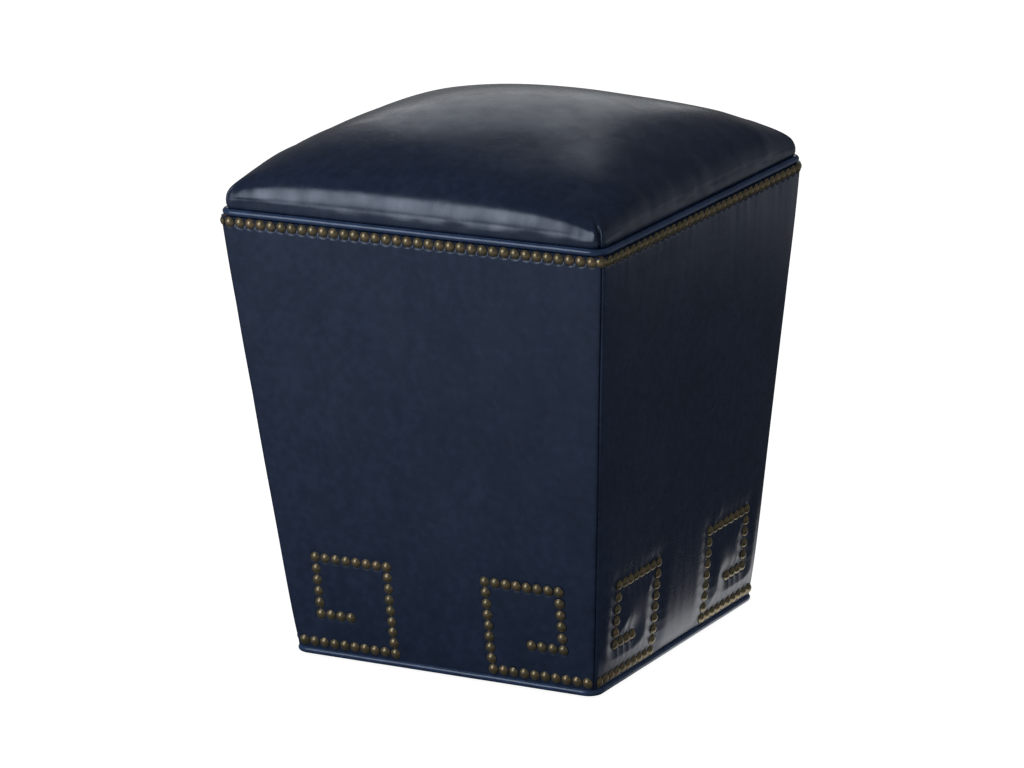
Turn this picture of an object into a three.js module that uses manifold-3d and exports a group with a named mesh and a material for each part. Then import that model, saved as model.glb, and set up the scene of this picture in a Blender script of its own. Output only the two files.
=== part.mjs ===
// Upholstered footstool: a tapered square box covered in leather, with a crowned fixed seat.
// Millimetres, +Z up. The origin is on the floor, under the middle of the stool.
// Faces are numbered 0 front (-Y), 1 right (+X), 2 back (+Y), 3 left (-X), and each is built
// as the front one, then turned about Z.
import * as THREE from "three";
import { mergeVertices } from "three/addons/utils/BufferGeometryUtils.js";
import Module from "manifold-3d";

const wasm = await Module();
wasm.setup();

// Overall proportions of the covered body
const bodyWidthAtTopNails = 435.4;
const bodyWidthAtBottomNails = 349.2;
const nailRowSpacing = 447.5;
const floorToWelt = 4;

// Gap that every pair of touching pieces keeps, and the overrun of a cutting tool
const jointGap = 0.3;
const cutOverrun = 5;

// Leather, and how the padded field stands out between the nail rows
const leatherThickness = 1.6;
const fieldRise = 2.8;
const fieldFadeBottom = 20;
const fieldFadeTop = 35;
const coverEdgeRadius = 7;
const paddingAtNails = 1.1;
const paddingCornerInset = 3;

// Welts: a cord in a leather strip, whose flange is stapled to the frame
const weltDiameter = 7;
const weltFlangeThickness = 1.4;
const weltFlangeReach = 18;
const weltCornerRadius = 12;
const bottomWeltInset = 1.2;
const topWeltInset = 1.7;
const flangeCornerRadius = 1;

// Decorative nails
const nailHeadDiameter = 11;
const nailHeadHeight = 3.4;
const crownRadiusShare = 0.62;
const crownHeightShare = 0.86;
const nailWebThickness = 0.6;
const nailWebWidth = 4.6;
const bottomNailInset = 7.3;
const topNailInset = 5.2;
const nailsPerTopRow = 35;

// Greek key: counts of nails along each run, and the pitch of each run
const keyPitch = 12;
const keyShortColumnPitch = 12.6;
const keyBottomNails = 10;
const keyLongColumnNails = 9;
const keyTopNails = 8;
const keyShortColumnNails = 6;
const keyInnerNails = 4;
const keyCornerGapTight = 2.5;
const keyCornerGapLoose = 6;

// Wooden frame
const panelThickness = 12;
const postWidth = 28;
const railThickness = 20;
const railHeight = 40;
const deckThickness = 15;
const deckEdgeMargin = 2;
const ventDiameter = 30;
const ventSpacing = 180;
const screwShankDiameter = 4;
const screwHeadDiameter = 8.4;
const screwHeadHeight = 3;
const screwDepthInDeck = 10;
const screwTipLength = 3;

// Seat
const seatLipWidth = 16;
const wrapThickness = 5;
const seatBaseAboveWelt = 3;
const seatSideHeight = 63.8;
const seatCrownHeight = 24;
const seatSideExponent = 3.44;
const seatCrownExponent = 2.14;
const seatCornerRadius = 12;
const seatBulgeAboveWelt = 10.5;
const seatSwellShare = 0.4;

// Underside
const dustCoverThickness = 0.8;
const dustCoverMargin = 4;
const glideDiameter = 22;
const glideEdge = 1.5;
const glideShankDiameter = 2.8;
const glideShankDepth = 14;
const glideShankTip = 2;

// Resolution of the curved surfaces, and the heights of a side cover's rows as shares of its own
const fieldShares = [0, 0.02, 0.05, 0.1, 0.2, 0.5, 0.8, 0.9, 0.96, 1];
const seatCellsPerHalf = 9;
const liningCellsPerHalf = 5;
const cornerSteps = 3;
const coverCornerSteps = 3;
const weltSides = 8;
const holeSides = 12;
const screwSides = 8;
const glideSides = 10;
const nailSides = 8;

// Heights worked out from the sizes above
const weltRadius = weltDiameter / 2;
const bottomWeltZ = floorToWelt + weltRadius;
const bottomWeltTopZ = bottomWeltZ + weltRadius;
const frameBottomZ = bottomWeltTopZ + jointGap;
const bottomNailZ = frameBottomZ + bottomNailInset;
const topNailZ = bottomNailZ + nailRowSpacing;
const frameTopZ = topNailZ + topNailInset;
const topFlangeBottomZ = frameTopZ + jointGap;
const topFlangeTopZ = topFlangeBottomZ + weltFlangeThickness;
const topWeltZ = topFlangeBottomZ + weltRadius;
const lipBottomZ = topFlangeTopZ + jointGap;
const lipTopZ = lipBottomZ + leatherThickness;
const deckBottomZ = lipTopZ + jointGap;
const deckTopZ = deckBottomZ + deckThickness;
const seatBaseZ = topWeltZ + seatBaseAboveWelt;
const seatBulgeZ = topWeltZ + seatBulgeAboveWelt;
const bottomFlangeBottomZ = bottomWeltTopZ - weltFlangeThickness;
const dustCoverTopZ = bottomFlangeBottomZ - jointGap;
const dustCoverBottomZ = dustCoverTopZ - dustCoverThickness;
const glideTopZ = dustCoverBottomZ - jointGap;

// Half widths worked out from the sizes above
const bottomNailHalf = bodyWidthAtBottomNails / 2;
const topNailHalf = bodyWidthAtTopNails / 2;
const sideSlope = (topNailHalf - bottomNailHalf) / nailRowSpacing;
const sideAngle = Math.atan(sideSlope);
const frameInset = leatherThickness + jointGap + paddingAtNails + jointGap;
const topWeltHalf = topNailHalf - topWeltInset;
const bottomWeltHalf = bottomNailHalf - bottomWeltInset;
const seatHalf = topWeltHalf;
const seatFootHalf = topWeltHalf - weltRadius - jointGap;
const wrapInset = leatherThickness + jointGap;
const foamInset = wrapInset + wrapThickness + jointGap;
const deckHalf = seatFootHalf - leatherThickness - deckEdgeMargin;
const dustCoverHalf = bottomWeltHalf - weltRadius - dustCoverMargin;

// Half width of the body at a height, in the plane of the nail rows.
function nailPlaneHalf(z) {
  return bottomNailHalf + sideSlope * (z - bottomNailZ);
}

// Half width of the leather at a height: the padding lifts it between the two nail rows only.
function leatherHalf(z) {
  const nearBottom = Math.exp((bottomNailZ - z) / fieldFadeBottom);
  const nearTop = Math.exp((z - topNailZ) / fieldFadeTop);
  return nailPlaneHalf(z) + fieldRise * Math.max(1 - nearBottom - nearTop, 0);
}

// Half width of the outside of the wooden frame at a height.
function frameHalf(z) {
  return nailPlaneHalf(z) - frameInset;
}

// Half width of the inside of the panels at a height, less the glue gap.
function innerHalf(z) {
  return frameHalf(z) - panelThickness - jointGap;
}

// Places of the glides under the posts, and of the screws in the middle of each top rail
const glideHalf = innerHalf(frameBottomZ) - postWidth / 2;
const topRailBottomZ = frameTopZ - railHeight;
const screwHalf = innerHalf((topRailBottomZ + frameTopZ) / 2) - railThickness / 2;
const screwHoleRadius = screwShankDiameter / 2 + jointGap + jointGap;
const screwTipZ = deckBottomZ + screwDepthInDeck;

// Colours and finish of each kind of material
function finish(color, roughness, metalness) {
  return new THREE.MeshStandardMaterial({ color, roughness, metalness });
}
const finishes = {
  leather: finish(0x1a2740, 0.38, 0),
  weltLeather: finish(0x22365a, 0.36, 0),
  nail: finish(0x5d4c2c, 0.35, 0.9),
  plywood: finish(0xb98f5e, 0.7, 0),
  hardwood: finish(0xa8794a, 0.65, 0),
  padding: finish(0xe8e4da, 0.95, 0),
  foam: finish(0xe6d9a0, 0.95, 0),
  dustCover: finish(0x161616, 0.9, 0),
  glide: finish(0x2b2b2b, 0.5, 0),
  steel: finish(0xb9bcc0, 0.35, 0.9),
};

const stool = new THREE.Group();
const sideNames = ["front", "right", "back", "left"];

// Adds a named mesh, turned about Z by quarter turns to the face that carries it.
function addPiece(name, geometry, material, face = 0) {
  const mesh = new THREE.Mesh(geometry, material);
  mesh.name = name;
  mesh.rotation.z = (face * Math.PI) / 2;
  geometry.computeVertexNormals();
  stool.add(mesh);
}

// Geometry from a flat list of triangles, each three points.
function geometryOfTriangles(triangles) {
  const numbers = triangles.flatMap((corner) => [corner.x, corner.y, corner.z]);
  const geometry = new THREE.BufferGeometry();
  geometry.setAttribute("position", new THREE.Float32BufferAttribute(numbers, 3));
  return geometry;
}

// Adds the four sided patch a, b, c, d, seen counter-clockwise from outside.
function pushQuad(triangles, a, b, c, d) {
  triangles.push(a, b, c, a, c, d);
}

// Closed solid through plan outlines at rising heights, each counter-clockwise from above.
function loft(sections) {
  const rings = sections.map(({ z, outline }) => outline.map(([x, y]) => new THREE.Vector3(x, y, z)));
  const triangles = [];
  for (let level = 0; level + 1 < rings.length; level++) {
    const low = rings[level];
    const high = rings[level + 1];
    low.forEach((point, i) => {
      const next = (i + 1) % low.length;
      pushQuad(triangles, point, low[next], high[next], high[i]);
    });
  }
  pushCap(triangles, rings[0], true);
  pushCap(triangles, rings[rings.length - 1], false);
  return geometryOfTriangles(triangles);
}

// Closes a level ring of points with a flat face that looks down or up.
function pushCap(triangles, ring, looksDown) {
  const flat = ring.map((point) => new THREE.Vector2(point.x, point.y));
  for (const [a, b, c] of THREE.ShapeUtils.triangulateShape(flat, [])) {
    if (looksDown) triangles.push(ring[a], ring[c], ring[b]);
    else triangles.push(ring[a], ring[b], ring[c]);
  }
}

// Upright faceted cylinder between two heights.
function uprightCylinder(radius, x, y, lowZ, highZ, sides) {
  const geometry = new THREE.CylinderGeometry(radius, radius, highZ - lowZ, sides);
  geometry.rotateX(Math.PI / 2);
  geometry.translate(x, y, (lowZ + highZ) / 2);
  return geometry;
}

// Solid for the boolean cuts, from a closed geometry.
function solidOf(geometry) {
  const bare = geometry.index ? geometry.toNonIndexed() : geometry.clone();
  const positions = new THREE.BufferGeometry();
  positions.setAttribute("position", bare.getAttribute("position"));
  const merged = mergeVertices(positions);
  const mesh = new wasm.Mesh({
    numProp: 3,
    vertProperties: merged.attributes.position.array,
    triVerts: new Uint32Array(merged.index.array),
  });
  return new wasm.Manifold(mesh);
}

// Geometry of a solid after the cuts.
function geometryOfSolid(solid) {
  const mesh = solid.getMesh();
  const geometry = new THREE.BufferGeometry();
  geometry.setAttribute("position", new THREE.BufferAttribute(mesh.vertProperties, 3));
  geometry.setIndex(new THREE.BufferAttribute(mesh.triVerts, 1));
  return geometry;
}

// A geometry with others cut out of it.
function cut(geometry, tools) {
  let solid = solidOf(geometry);
  for (const tool of tools) solid = solid.subtract(solidOf(tool));
  return geometryOfSolid(solid);
}

// Outline of a rectangle in plan.
function rectangle(lowX, lowY, highX, highY) {
  return [
    [lowX, lowY],
    [highX, lowY],
    [highX, highY],
    [lowX, highY],
  ];
}

// Square plate in plan, centred on the Z axis.
function squarePlate(half, lowZ, highZ) {
  const outline = rectangle(-half, -half, half, half);
  return loft([
    { z: lowZ, outline },
    { z: highZ, outline },
  ]);
}

// Square plate whose corners are rounded in plan.
function roundedPlate(half, radius, lowZ, highZ) {
  const outline = [];
  for (let corner = 0; corner < 4; corner++) {
    for (let step = 0; step <= cornerSteps; step++) {
      outline.push(roundedSquarePoint(half, radius, corner, step / cornerSteps));
    }
  }
  return loft([
    { z: lowZ, outline },
    { z: highZ, outline },
  ]);
}

// Block on the front face whose plan outline changes with height.
function slantedBlock(lowZ, highZ, outlineAt) {
  return loft([
    { z: lowZ, outline: outlineAt(lowZ) },
    { z: highZ, outline: outlineAt(highZ) },
  ]);
}

// Side panel: a trapezium of plywood with mitred ends, which stand off the corner plane.
function panel() {
  const mitreGap = jointGap / Math.SQRT2;
  return slantedBlock(frameBottomZ, frameTopZ, (z) => {
    const outer = frameHalf(z);
    const inner = outer - panelThickness;
    return [
      [-outer + mitreGap, -outer],
      [outer - mitreGap, -outer],
      [inner - mitreGap, -inner],
      [-inner + mitreGap, -inner],
    ];
  });
}

// Corner post in the front left corner, from the bottom of the frame to its top.
function cornerPost() {
  const post = slantedBlock(frameBottomZ, frameTopZ, (z) => {
    const far = -innerHalf(z);
    return rectangle(far, far, far + postWidth, far + postWidth);
  });
  const holeRadius = glideShankDiameter / 2 + jointGap + jointGap;
  const holeTopZ = glideTopZ + glideShankDepth + jointGap;
  const hole = uprightCylinder(
    holeRadius, -glideHalf, -glideHalf, frameBottomZ - cutOverrun, holeTopZ, screwSides,
  );
  return cut(post, [hole]);
}

// Rail between two posts, along the front panel.
function rail(lowZ, highZ) {
  return slantedBlock(lowZ, highZ, (z) => {
    const outer = innerHalf(z);
    const end = outer - postWidth - jointGap;
    return rectangle(-end, -outer, end, -outer + railThickness);
  });
}

// Hole for a seat screw from below the rail into the deck.
function screwHole(x, y) {
  return uprightCylinder(
    screwHoleRadius, x, y, topRailBottomZ - cutOverrun, screwTipZ + jointGap, screwSides,
  );
}

// Top rail with the hole that a seat screw passes through.
function topRail() {
  return cut(rail(topRailBottomZ, frameTopZ), [screwHole(0, -screwHalf)]);
}

// Pan head screw, driven up through a top rail into the seat deck.
function seatScrew() {
  const shankRadius = screwShankDiameter / 2;
  const headRadius = screwHeadDiameter / 2;
  const headTopZ = topRailBottomZ - jointGap;
  const headBottomZ = headTopZ - screwHeadHeight;
  const profile = [
    [0, headBottomZ],
    [headRadius - screwHeadHeight / 2, headBottomZ],
    [headRadius, headTopZ - screwHeadHeight / 2],
    [headRadius, headTopZ],
    [shankRadius, headTopZ],
    [shankRadius, screwTipZ - screwTipLength],
    [0, screwTipZ],
  ];
  return turned(profile, screwSides).translate(0, -screwHalf, 0);
}

// Solid of revolution about Z, from a profile of radius and height pairs that rises.
function turned(profile, sides) {
  const points = profile.map(([radius, height]) => new THREE.Vector2(radius, height));
  const geometry = new THREE.LatheGeometry(points, sides);
  geometry.rotateX(Math.PI / 2);
  return geometry;
}

// Seat deck: a plywood board with four vent holes and the pilot holes of the screws.
function seatDeck() {
  const vents = [];
  for (const x of [-ventSpacing / 2, ventSpacing / 2]) {
    for (const y of [-ventSpacing / 2, ventSpacing / 2]) {
      const lowZ = deckBottomZ - cutOverrun;
      vents.push(uprightCylinder(ventDiameter / 2, x, y, lowZ, deckTopZ + cutOverrun, holeSides));
    }
  }
  const pilots = [
    [0, -screwHalf],
    [screwHalf, 0],
    [0, screwHalf],
    [-screwHalf, 0],
  ].map(([x, y]) => screwHole(x, y));
  const board = roundedPlate(deckHalf, seatCornerRadius, deckBottomZ, deckTopZ);
  return cut(board, [...vents, ...pilots]);
}

// Plan outline of the leather of the front face at a height: the outside, then the inside.
// Its two ends turn round the corners and stop just before the corner seams.
function coverOutline(z) {
  const half = leatherHalf(z);
  const outside = cornerToCorner(half, coverEdgeRadius);
  const inside = cornerToCorner(half - leatherThickness, coverEdgeRadius - leatherThickness);
  return [...outside, ...inside.reverse()];
}

// Points along the front face from one corner seam to the other.
function cornerToCorner(half, radius) {
  const centre = half - radius;
  const seamAngle = Math.PI / 4 - jointGap / 2 / radius;
  const rightEnd = [];
  for (let step = 0; step <= coverCornerSteps; step++) {
    const angle = (seamAngle * step) / coverCornerSteps;
    rightEnd.push([centre + radius * Math.sin(angle), -centre - radius * Math.cos(angle)]);
  }
  const leftEnd = rightEnd.map(([x, y]) => [-x, y]).reverse();
  return [...leftEnd, ...rightEnd];
}

// Heights of the sections of a cover or a pad, closer together where the leather curves in.
function fieldHeights(lowZ, highZ) {
  return fieldShares.map((share) => lowZ + share * (highZ - lowZ));
}

// Leather cover of one side, from the bottom edge of the frame to the top edge.
function sideCover() {
  return loft(fieldHeights(frameBottomZ, frameTopZ).map((z) => ({ z, outline: coverOutline(z) })));
}

// Padding between a side panel and its leather.
function sidePad() {
  return loft(
    fieldHeights(bottomNailZ, topNailZ).map((z) => {
      const inner = frameHalf(z) + jointGap;
      const outer = leatherHalf(z) - leatherThickness - jointGap;
      const end = frameHalf(z) - paddingCornerInset;
      return { z, outline: rectangle(-end, -outer, end, -inner) };
    }),
  );
}

// Point on the plan of a rounded square: its corner is numbered from the front right one, and
// the angle runs from the corner's start to its end.
function roundedSquarePoint(half, radius, corner, share) {
  const angle = (Math.PI / 2) * (corner - 1 + share);
  const centreAngle = (Math.PI / 2) * (corner - 1 / 2);
  const reach = (half - radius) * Math.SQRT2;
  return [
    reach * Math.cos(centreAngle) + radius * Math.cos(angle),
    reach * Math.sin(centreAngle) + radius * Math.sin(angle),
  ];
}

// Welt loop: a round bead whose flat flange runs inwards at the bead's bottom or top.
function welt(half, centreZ, flangeSide) {
  const profile = weltProfile(centreZ, flangeSide);
  const stations = [];
  for (let corner = 0; corner < 4; corner++) {
    for (let step = 0; step <= cornerSteps; step++) {
      stations.push(
        profile.map(([offset, z]) => {
          const radius = Math.max(weltCornerRadius + offset, flangeCornerRadius);
          const [x, y] = roundedSquarePoint(half + offset, radius, corner, step / cornerSteps);
          return new THREE.Vector3(x, y, z);
        }),
      );
    }
  }
  return closedSweep(stations);
}

// Section of a welt as outward offset and height pairs, counter-clockwise with outwards to the right.
function weltProfile(centreZ, flangeSide) {
  const edgeZ = centreZ + flangeSide * weltRadius;
  const innerZ = edgeZ - flangeSide * weltFlangeThickness;
  const openAngle = Math.acos(1 - weltFlangeThickness / weltRadius);
  const sweep = 2 * Math.PI - openAngle;
  const bead = [];
  for (let i = 0; i <= weltSides; i++) {
    const angle = flangeSide * (Math.PI / 2 - (sweep * i) / weltSides);
    bead.push([weltRadius * Math.cos(angle), centreZ + weltRadius * Math.sin(angle)]);
  }
  const flange = [
    [-weltFlangeReach, innerZ],
    [-weltFlangeReach, edgeZ],
  ];
  const outline = [...bead, ...flange];
  return flangeSide > 0 ? outline.reverse() : outline;
}

// Closed loop through stations that hold the same number of section points.
function closedSweep(stations) {
  const triangles = [];
  stations.forEach((here, i) => {
    const next = stations[(i + 1) % stations.length];
    here.forEach((point, j) => {
      const k = (j + 1) % here.length;
      pushQuad(triangles, point, next[j], next[k], here[k]);
    });
  });
  return geometryOfTriangles(triangles);
}

// Side of the seat below its widest level, as height and inset from the widest half width.
// The leather hugs the welt, then swells out above it.
function seatSideProfile() {
  const hug = weltRadius + jointGap + jointGap;
  const foot = seatHalf - seatFootHalf;
  return [
    [lipBottomZ, foot],
    [topWeltZ, foot],
    [topWeltZ + hug * Math.SQRT1_2, hug * Math.SQRT1_2],
    [topWeltZ + hug, weltRadius * seatSwellShare],
    [seatBulgeZ, 0],
  ];
}

// Plan point of the seat: shares of the half width, with the corners rounded.
function seatPlanPoint(half, radius, shareX, shareY) {
  const x = shareX * half;
  const y = shareY * half;
  const straight = half - radius;
  const overX = Math.abs(x) - straight;
  const overY = Math.abs(y) - straight;
  if (overX <= 0 || overY <= 0) return [x, y];
  const pull = Math.max(overX, overY) / Math.hypot(overX, overY);
  return [Math.sign(x) * (straight + overX * pull), Math.sign(y) * (straight + overY * pull)];
}

// Height of the crowned seat above its base at shares of the half width, inset by a distance.
function seatRise(shareX, shareY, inset) {
  const inwards = 1 - inset / (seatSideHeight + seatCrownHeight);
  const side = (share) => (1 - Math.abs(share) ** seatSideExponent) ** (1 / seatSideExponent);
  const crown = (share) => (1 - share * share) ** seatCrownExponent;
  const box = seatSideHeight * side(shareX) * side(shareY);
  const dome = seatCrownHeight * crown(shareX) * crown(shareY);
  return (box + dome) * inwards;
}

// Shares across the seat, closer together towards its sides.
function seatShares(cellsPerHalf) {
  const shares = [];
  for (let i = -cellsPerHalf; i <= cellsPerHalf; i++) {
    const angle = ((cellsPerHalf - Math.abs(i)) / cellsPerHalf) * (Math.PI / 2);
    shares.push(Math.sign(i) * Math.max(Math.cos(angle), 0) ** (2 / seatSideExponent));
  }
  shares[0] = -1;
  shares[cellsPerHalf] = 0;
  shares[2 * cellsPerHalf] = 1;
  return shares;
}

// Closed crowned solid of the seat, inset by a distance, standing on a level face.
function crownedSolid(inset, footZ, cellsPerHalf) {
  const half = seatHalf - inset;
  const radius = seatCornerRadius - inset;
  const cornerRadius = Math.max(radius, jointGap);
  const shares = seatShares(cellsPerHalf);
  const lowest = seatBulgeZ - seatBaseZ;
  const grid = shares.map((shareX) =>
    shares.map((shareY) => {
      const [x, y] = seatPlanPoint(half, cornerRadius, shareX, shareY);
      return new THREE.Vector3(x, y, seatBaseZ + Math.max(seatRise(shareX, shareY, inset), lowest));
    }),
  );
  const triangles = [];
  const last = shares.length - 1;
  for (let i = 0; i < last; i++) {
    for (let j = 0; j < last; j++) {
      pushQuad(triangles, grid[i][j], grid[i + 1][j], grid[i + 1][j + 1], grid[i][j + 1]);
    }
  }
  const rim = gridRim(grid, last);
  const levels = seatSideProfile().filter(([z]) => z > footZ && z < seatBulgeZ);
  const footInset = insetAt(footZ);
  const rows = [[footZ, footInset], ...levels].map(([z, extra]) => shrunkRing(rim, half, extra, z));
  rows.push(rim);
  for (let level = 0; level + 1 < rows.length; level++) {
    rim.forEach((_, i) => {
      const next = (i + 1) % rim.length;
      pushQuad(triangles, rows[level][i], rows[level][next], rows[level + 1][next], rows[level + 1][i]);
    });
  }
  pushCap(triangles, rows[0], true);
  return geometryOfTriangles(triangles);
}

// Points of a square grid's rim, counter-clockwise from above.
function gridRim(grid, last) {
  const rim = [];
  for (let i = 0; i < last; i++) rim.push(grid[i][0]);
  for (let j = 0; j < last; j++) rim.push(grid[last][j]);
  for (let i = last; i > 0; i--) rim.push(grid[i][last]);
  for (let j = last; j > 0; j--) rim.push(grid[0][j]);
  return rim;
}

// A ring drawn in towards the axis by a distance, at another height.
function shrunkRing(ring, half, distance, z) {
  const scale = 1 - distance / half;
  return ring.map((point) => new THREE.Vector3(point.x * scale, point.y * scale, z));
}

// Inset of the seat's side at a height, along its profile.
function insetAt(z) {
  const profile = seatSideProfile();
  for (let i = 0; i + 1 < profile.length; i++) {
    const [lowZ, lowInset] = profile[i];
    const [highZ, highInset] = profile[i + 1];
    if (z <= highZ) {
      const share = Math.max((z - lowZ) / (highZ - lowZ), 0);
      return lowInset + share * (highInset - lowInset);
    }
  }
  return 0;
}

// Seat cover: the leather over the wrap, with a lip turned in under the deck.
function seatCover() {
  const outside = crownedSolid(0, lipBottomZ, seatCellsPerHalf);
  const inside = crownedSolid(leatherThickness, lipTopZ, liningCellsPerHalf);
  const lipOpening = squarePlate(seatFootHalf - seatLipWidth, lipBottomZ - cutOverrun, lipTopZ + cutOverrun);
  return cut(outside, [inside, lipOpening]);
}

// Crowned solid cut level at a height above the deck.
function crownedBlock(inset, footZ) {
  const below = squarePlate(seatHalf + cutOverrun, lipBottomZ - cutOverrun, footZ);
  return cut(crownedSolid(inset, lipBottomZ, liningCellsPerHalf), [below]);
}

// Polyester wrap: a layer over the foam, down to the deck.
function seatWrap() {
  const foamSpace = crownedSolid(foamInset - jointGap, lipBottomZ, liningCellsPerHalf);
  return cut(crownedBlock(wrapInset, deckTopZ + jointGap), [foamSpace]);
}

// Foam block, shaped to the crown and glued to the deck.
function seatFoam() {
  return crownedBlock(foamInset, deckTopZ + jointGap);
}

// Black cloth over the underside, with a small hole for each glide's shank.
function dustCover() {
  const holeRadius = glideShankDiameter / 2 + jointGap + jointGap;
  const holes = [];
  for (const x of [-glideHalf, glideHalf]) {
    for (const y of [-glideHalf, glideHalf]) {
      const lowZ = dustCoverBottomZ - cutOverrun;
      holes.push(uprightCylinder(holeRadius, x, y, lowZ, dustCoverTopZ + cutOverrun, screwSides));
    }
  }
  return cut(squarePlate(dustCoverHalf, dustCoverBottomZ, dustCoverTopZ), holes);
}

// Nail-on glide under the front left post.
function glide() {
  const radius = glideDiameter / 2;
  const shankRadius = glideShankDiameter / 2;
  const shankTopZ = glideTopZ + glideShankDepth;
  const profile = [
    [0, 0],
    [radius - glideEdge, 0],
    [radius, glideEdge],
    [radius, glideTopZ - glideEdge],
    [radius - glideEdge, glideTopZ],
    [shankRadius, glideTopZ],
    [shankRadius, shankTopZ - glideShankTip],
    [0, shankTopZ],
  ];
  return turned(profile, glideSides).translate(-glideHalf, -glideHalf, 0);
}

// Point on the leather of the front face, lifted off it along the face's normal.
function pointOnLeather(along, z, lift) {
  const out = leatherHalf(z) + lift * Math.cos(sideAngle);
  return new THREE.Vector3(along, -out, z - lift * Math.sin(sideAngle));
}

// Nails side by side along a path on the front face, heads joined by a thin web behind them.
// Each place is the nail's position along the face and its height.
function nailRun(places) {
  const triangles = [];
  places.forEach((place, i) => {
    const neighbours = [places[i - 1], places[i + 1]].filter(Boolean);
    pushNail(triangles, place, neighbours);
  });
  return geometryOfTriangles(triangles);
}

// One nail of a run: an eight sided dome whose flats meet the neighbours halfway.
function pushNail(triangles, [along, z], neighbours) {
  const radius = nailHeadDiameter / 2;
  const low = [];
  const high = [];
  for (let side = 0; side < 4; side++) {
    const stepX = Math.round(Math.cos((side * Math.PI) / 2));
    const stepZ = Math.round(Math.sin((side * Math.PI) / 2));
    const mate = neighbours.find(([nextAlong, nextZ]) => {
      const dx = nextAlong - along;
      const dz = nextZ - z;
      return Math.abs(dx) > Math.abs(dz) ? Math.sign(dx) === stepX : Math.sign(dz) === stepZ;
    });
    const reach = mate ? Math.hypot(mate[0] - along, mate[1] - z) / 2 : radius;
    for (const turn of [-1, 1]) {
      const px = along + stepX * reach - (stepZ * turn * nailWebWidth) / 2;
      const pz = z + stepZ * reach + (stepX * turn * nailWebWidth) / 2;
      low.push(pointOnLeather(px, pz, jointGap));
      high.push(pointOnLeather(px, pz, mate ? jointGap + nailWebThickness : jointGap));
    }
  }
  const crown = [];
  for (let side = 0; side < 4; side++) {
    const angle = ((side + 1 / 2) * Math.PI) / 2;
    const reach = radius * crownRadiusShare;
    const px = along + reach * Math.cos(angle);
    const pz = z + reach * Math.sin(angle);
    crown.push(pointOnLeather(px, pz, nailHeadHeight * crownHeightShare));
  }
  pushNailFaces(triangles, low, high, crown);
}

// Faces of one nail between its low ring, its high ring and the corners of its crown.
function pushNailFaces(triangles, low, high, crown) {
  const count = low.length;
  for (let i = 1; i + 1 < count; i++) triangles.push(low[0], low[i + 1], low[i]);
  for (let side = 0; side < crown.length; side++) {
    const start = 2 * side;
    const end = start + 1;
    const next = (start + 2) % count;
    const before = crown[(side + crown.length - 1) % crown.length];
    pushQuad(triangles, high[start], high[end], crown[side], before);
    triangles.push(high[end], high[next], crown[side]);
    if (high[end] !== low[end]) pushWall(triangles, low[end], low[next], high[next], high[end]);
  }
  triangles.push(crown[0], crown[1], crown[2], crown[0], crown[2], crown[3]);
}

// Narrow wall between the low and the high ring, which meet where no neighbour follows.
function pushWall(triangles, lowA, lowB, highB, highA) {
  if (lowB.distanceTo(highB) > 0) triangles.push(lowA, lowB, highB);
  if (lowA.distanceTo(highA) > 0) triangles.push(lowA, highB, highA);
}

// Top row of a face: nails evenly spaced between the corner nails.
function topRowPlaces() {
  const pitch = bodyWidthAtTopNails / (nailsPerTopRow + 1);
  const places = [];
  for (let i = 1; i <= nailsPerTopRow; i++) places.push([-topNailHalf + i * pitch, topNailZ]);
  return places;
}

// Greek key as one unbroken path from the bottom corner of the face inwards, up, back, down
// and in again. The hand is 1 where it starts at the left corner, and -1 at the right one.
function keyPlaces(hand, margin) {
  const rise = Math.cos(sideAngle);
  const places = [];
  let along = hand * (margin - bottomNailHalf);
  let z = bottomNailZ;
  places.push([along, z]);
  const walk = (count, stepAlong, stepUp) => {
    for (let i = 0; i < count; i++) {
      along += hand * stepAlong;
      z += stepUp * rise;
      places.push([along, z]);
    }
  };
  walk(keyBottomNails - 1, keyPitch, 0);
  walk(keyLongColumnNails - 1, 0, keyPitch);
  walk(keyTopNails - 1, -keyPitch, 0);
  walk(keyShortColumnNails - 1, 0, -keyShortColumnPitch);
  walk(keyInnerNails - 1, keyPitch, 0);
  return places;
}

// Single nail on the front right corner of the top row.
function cornerNail() {
  const radius = nailHeadDiameter / 2;
  const profile = [
    [0, 0],
    [radius, 0],
    [radius * crownRadiusShare * Math.SQRT2, nailHeadHeight / 2],
    [radius * crownRadiusShare * Math.SQRT1_2, nailHeadHeight * crownHeightShare],
    [0, nailHeadHeight],
  ];
  const nail = turned(profile, nailSides);
  nail.rotateX(Math.PI / 2 + sideAngle);
  nail.rotateZ(Math.PI / 4);
  const cornerReach = leatherHalf(topNailZ) - coverEdgeRadius * (1 - Math.SQRT1_2);
  const stand = jointGap + jointGap + weltRadius * Math.sin(sideAngle);
  const reach = cornerReach + stand * Math.SQRT1_2;
  return nail.translate(reach, -reach, topNailZ);
}

// Wooden frame
sideNames.forEach((side, face) => {
  addPiece(`panel_${side}`, panel(), finishes.plywood, face);
  addPiece(`corner_post_${face + 1}`, cornerPost(), finishes.hardwood, face);
  addPiece(`base_rail_${side}`, rail(frameBottomZ, frameBottomZ + railHeight), finishes.hardwood, face);
  addPiece(`top_rail_${side}`, topRail(), finishes.hardwood, face);
  addPiece(`seat_screw_${face + 1}`, seatScrew(), finishes.steel, face);
  addPiece(`glide_${face + 1}`, glide(), finishes.glide, face);
});

// Side upholstery
sideNames.forEach((side, face) => {
  addPiece(`side_pad_${side}`, sidePad(), finishes.padding, face);
  addPiece(`side_cover_${side}`, sideCover(), finishes.leather, face);
});
addPiece("welt_bottom", welt(bottomWeltHalf, bottomWeltZ, 1), finishes.weltLeather);
addPiece("welt_top", welt(topWeltHalf, topWeltZ, -1), finishes.weltLeather);
addPiece("dust_cover", dustCover(), finishes.dustCover);

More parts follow.
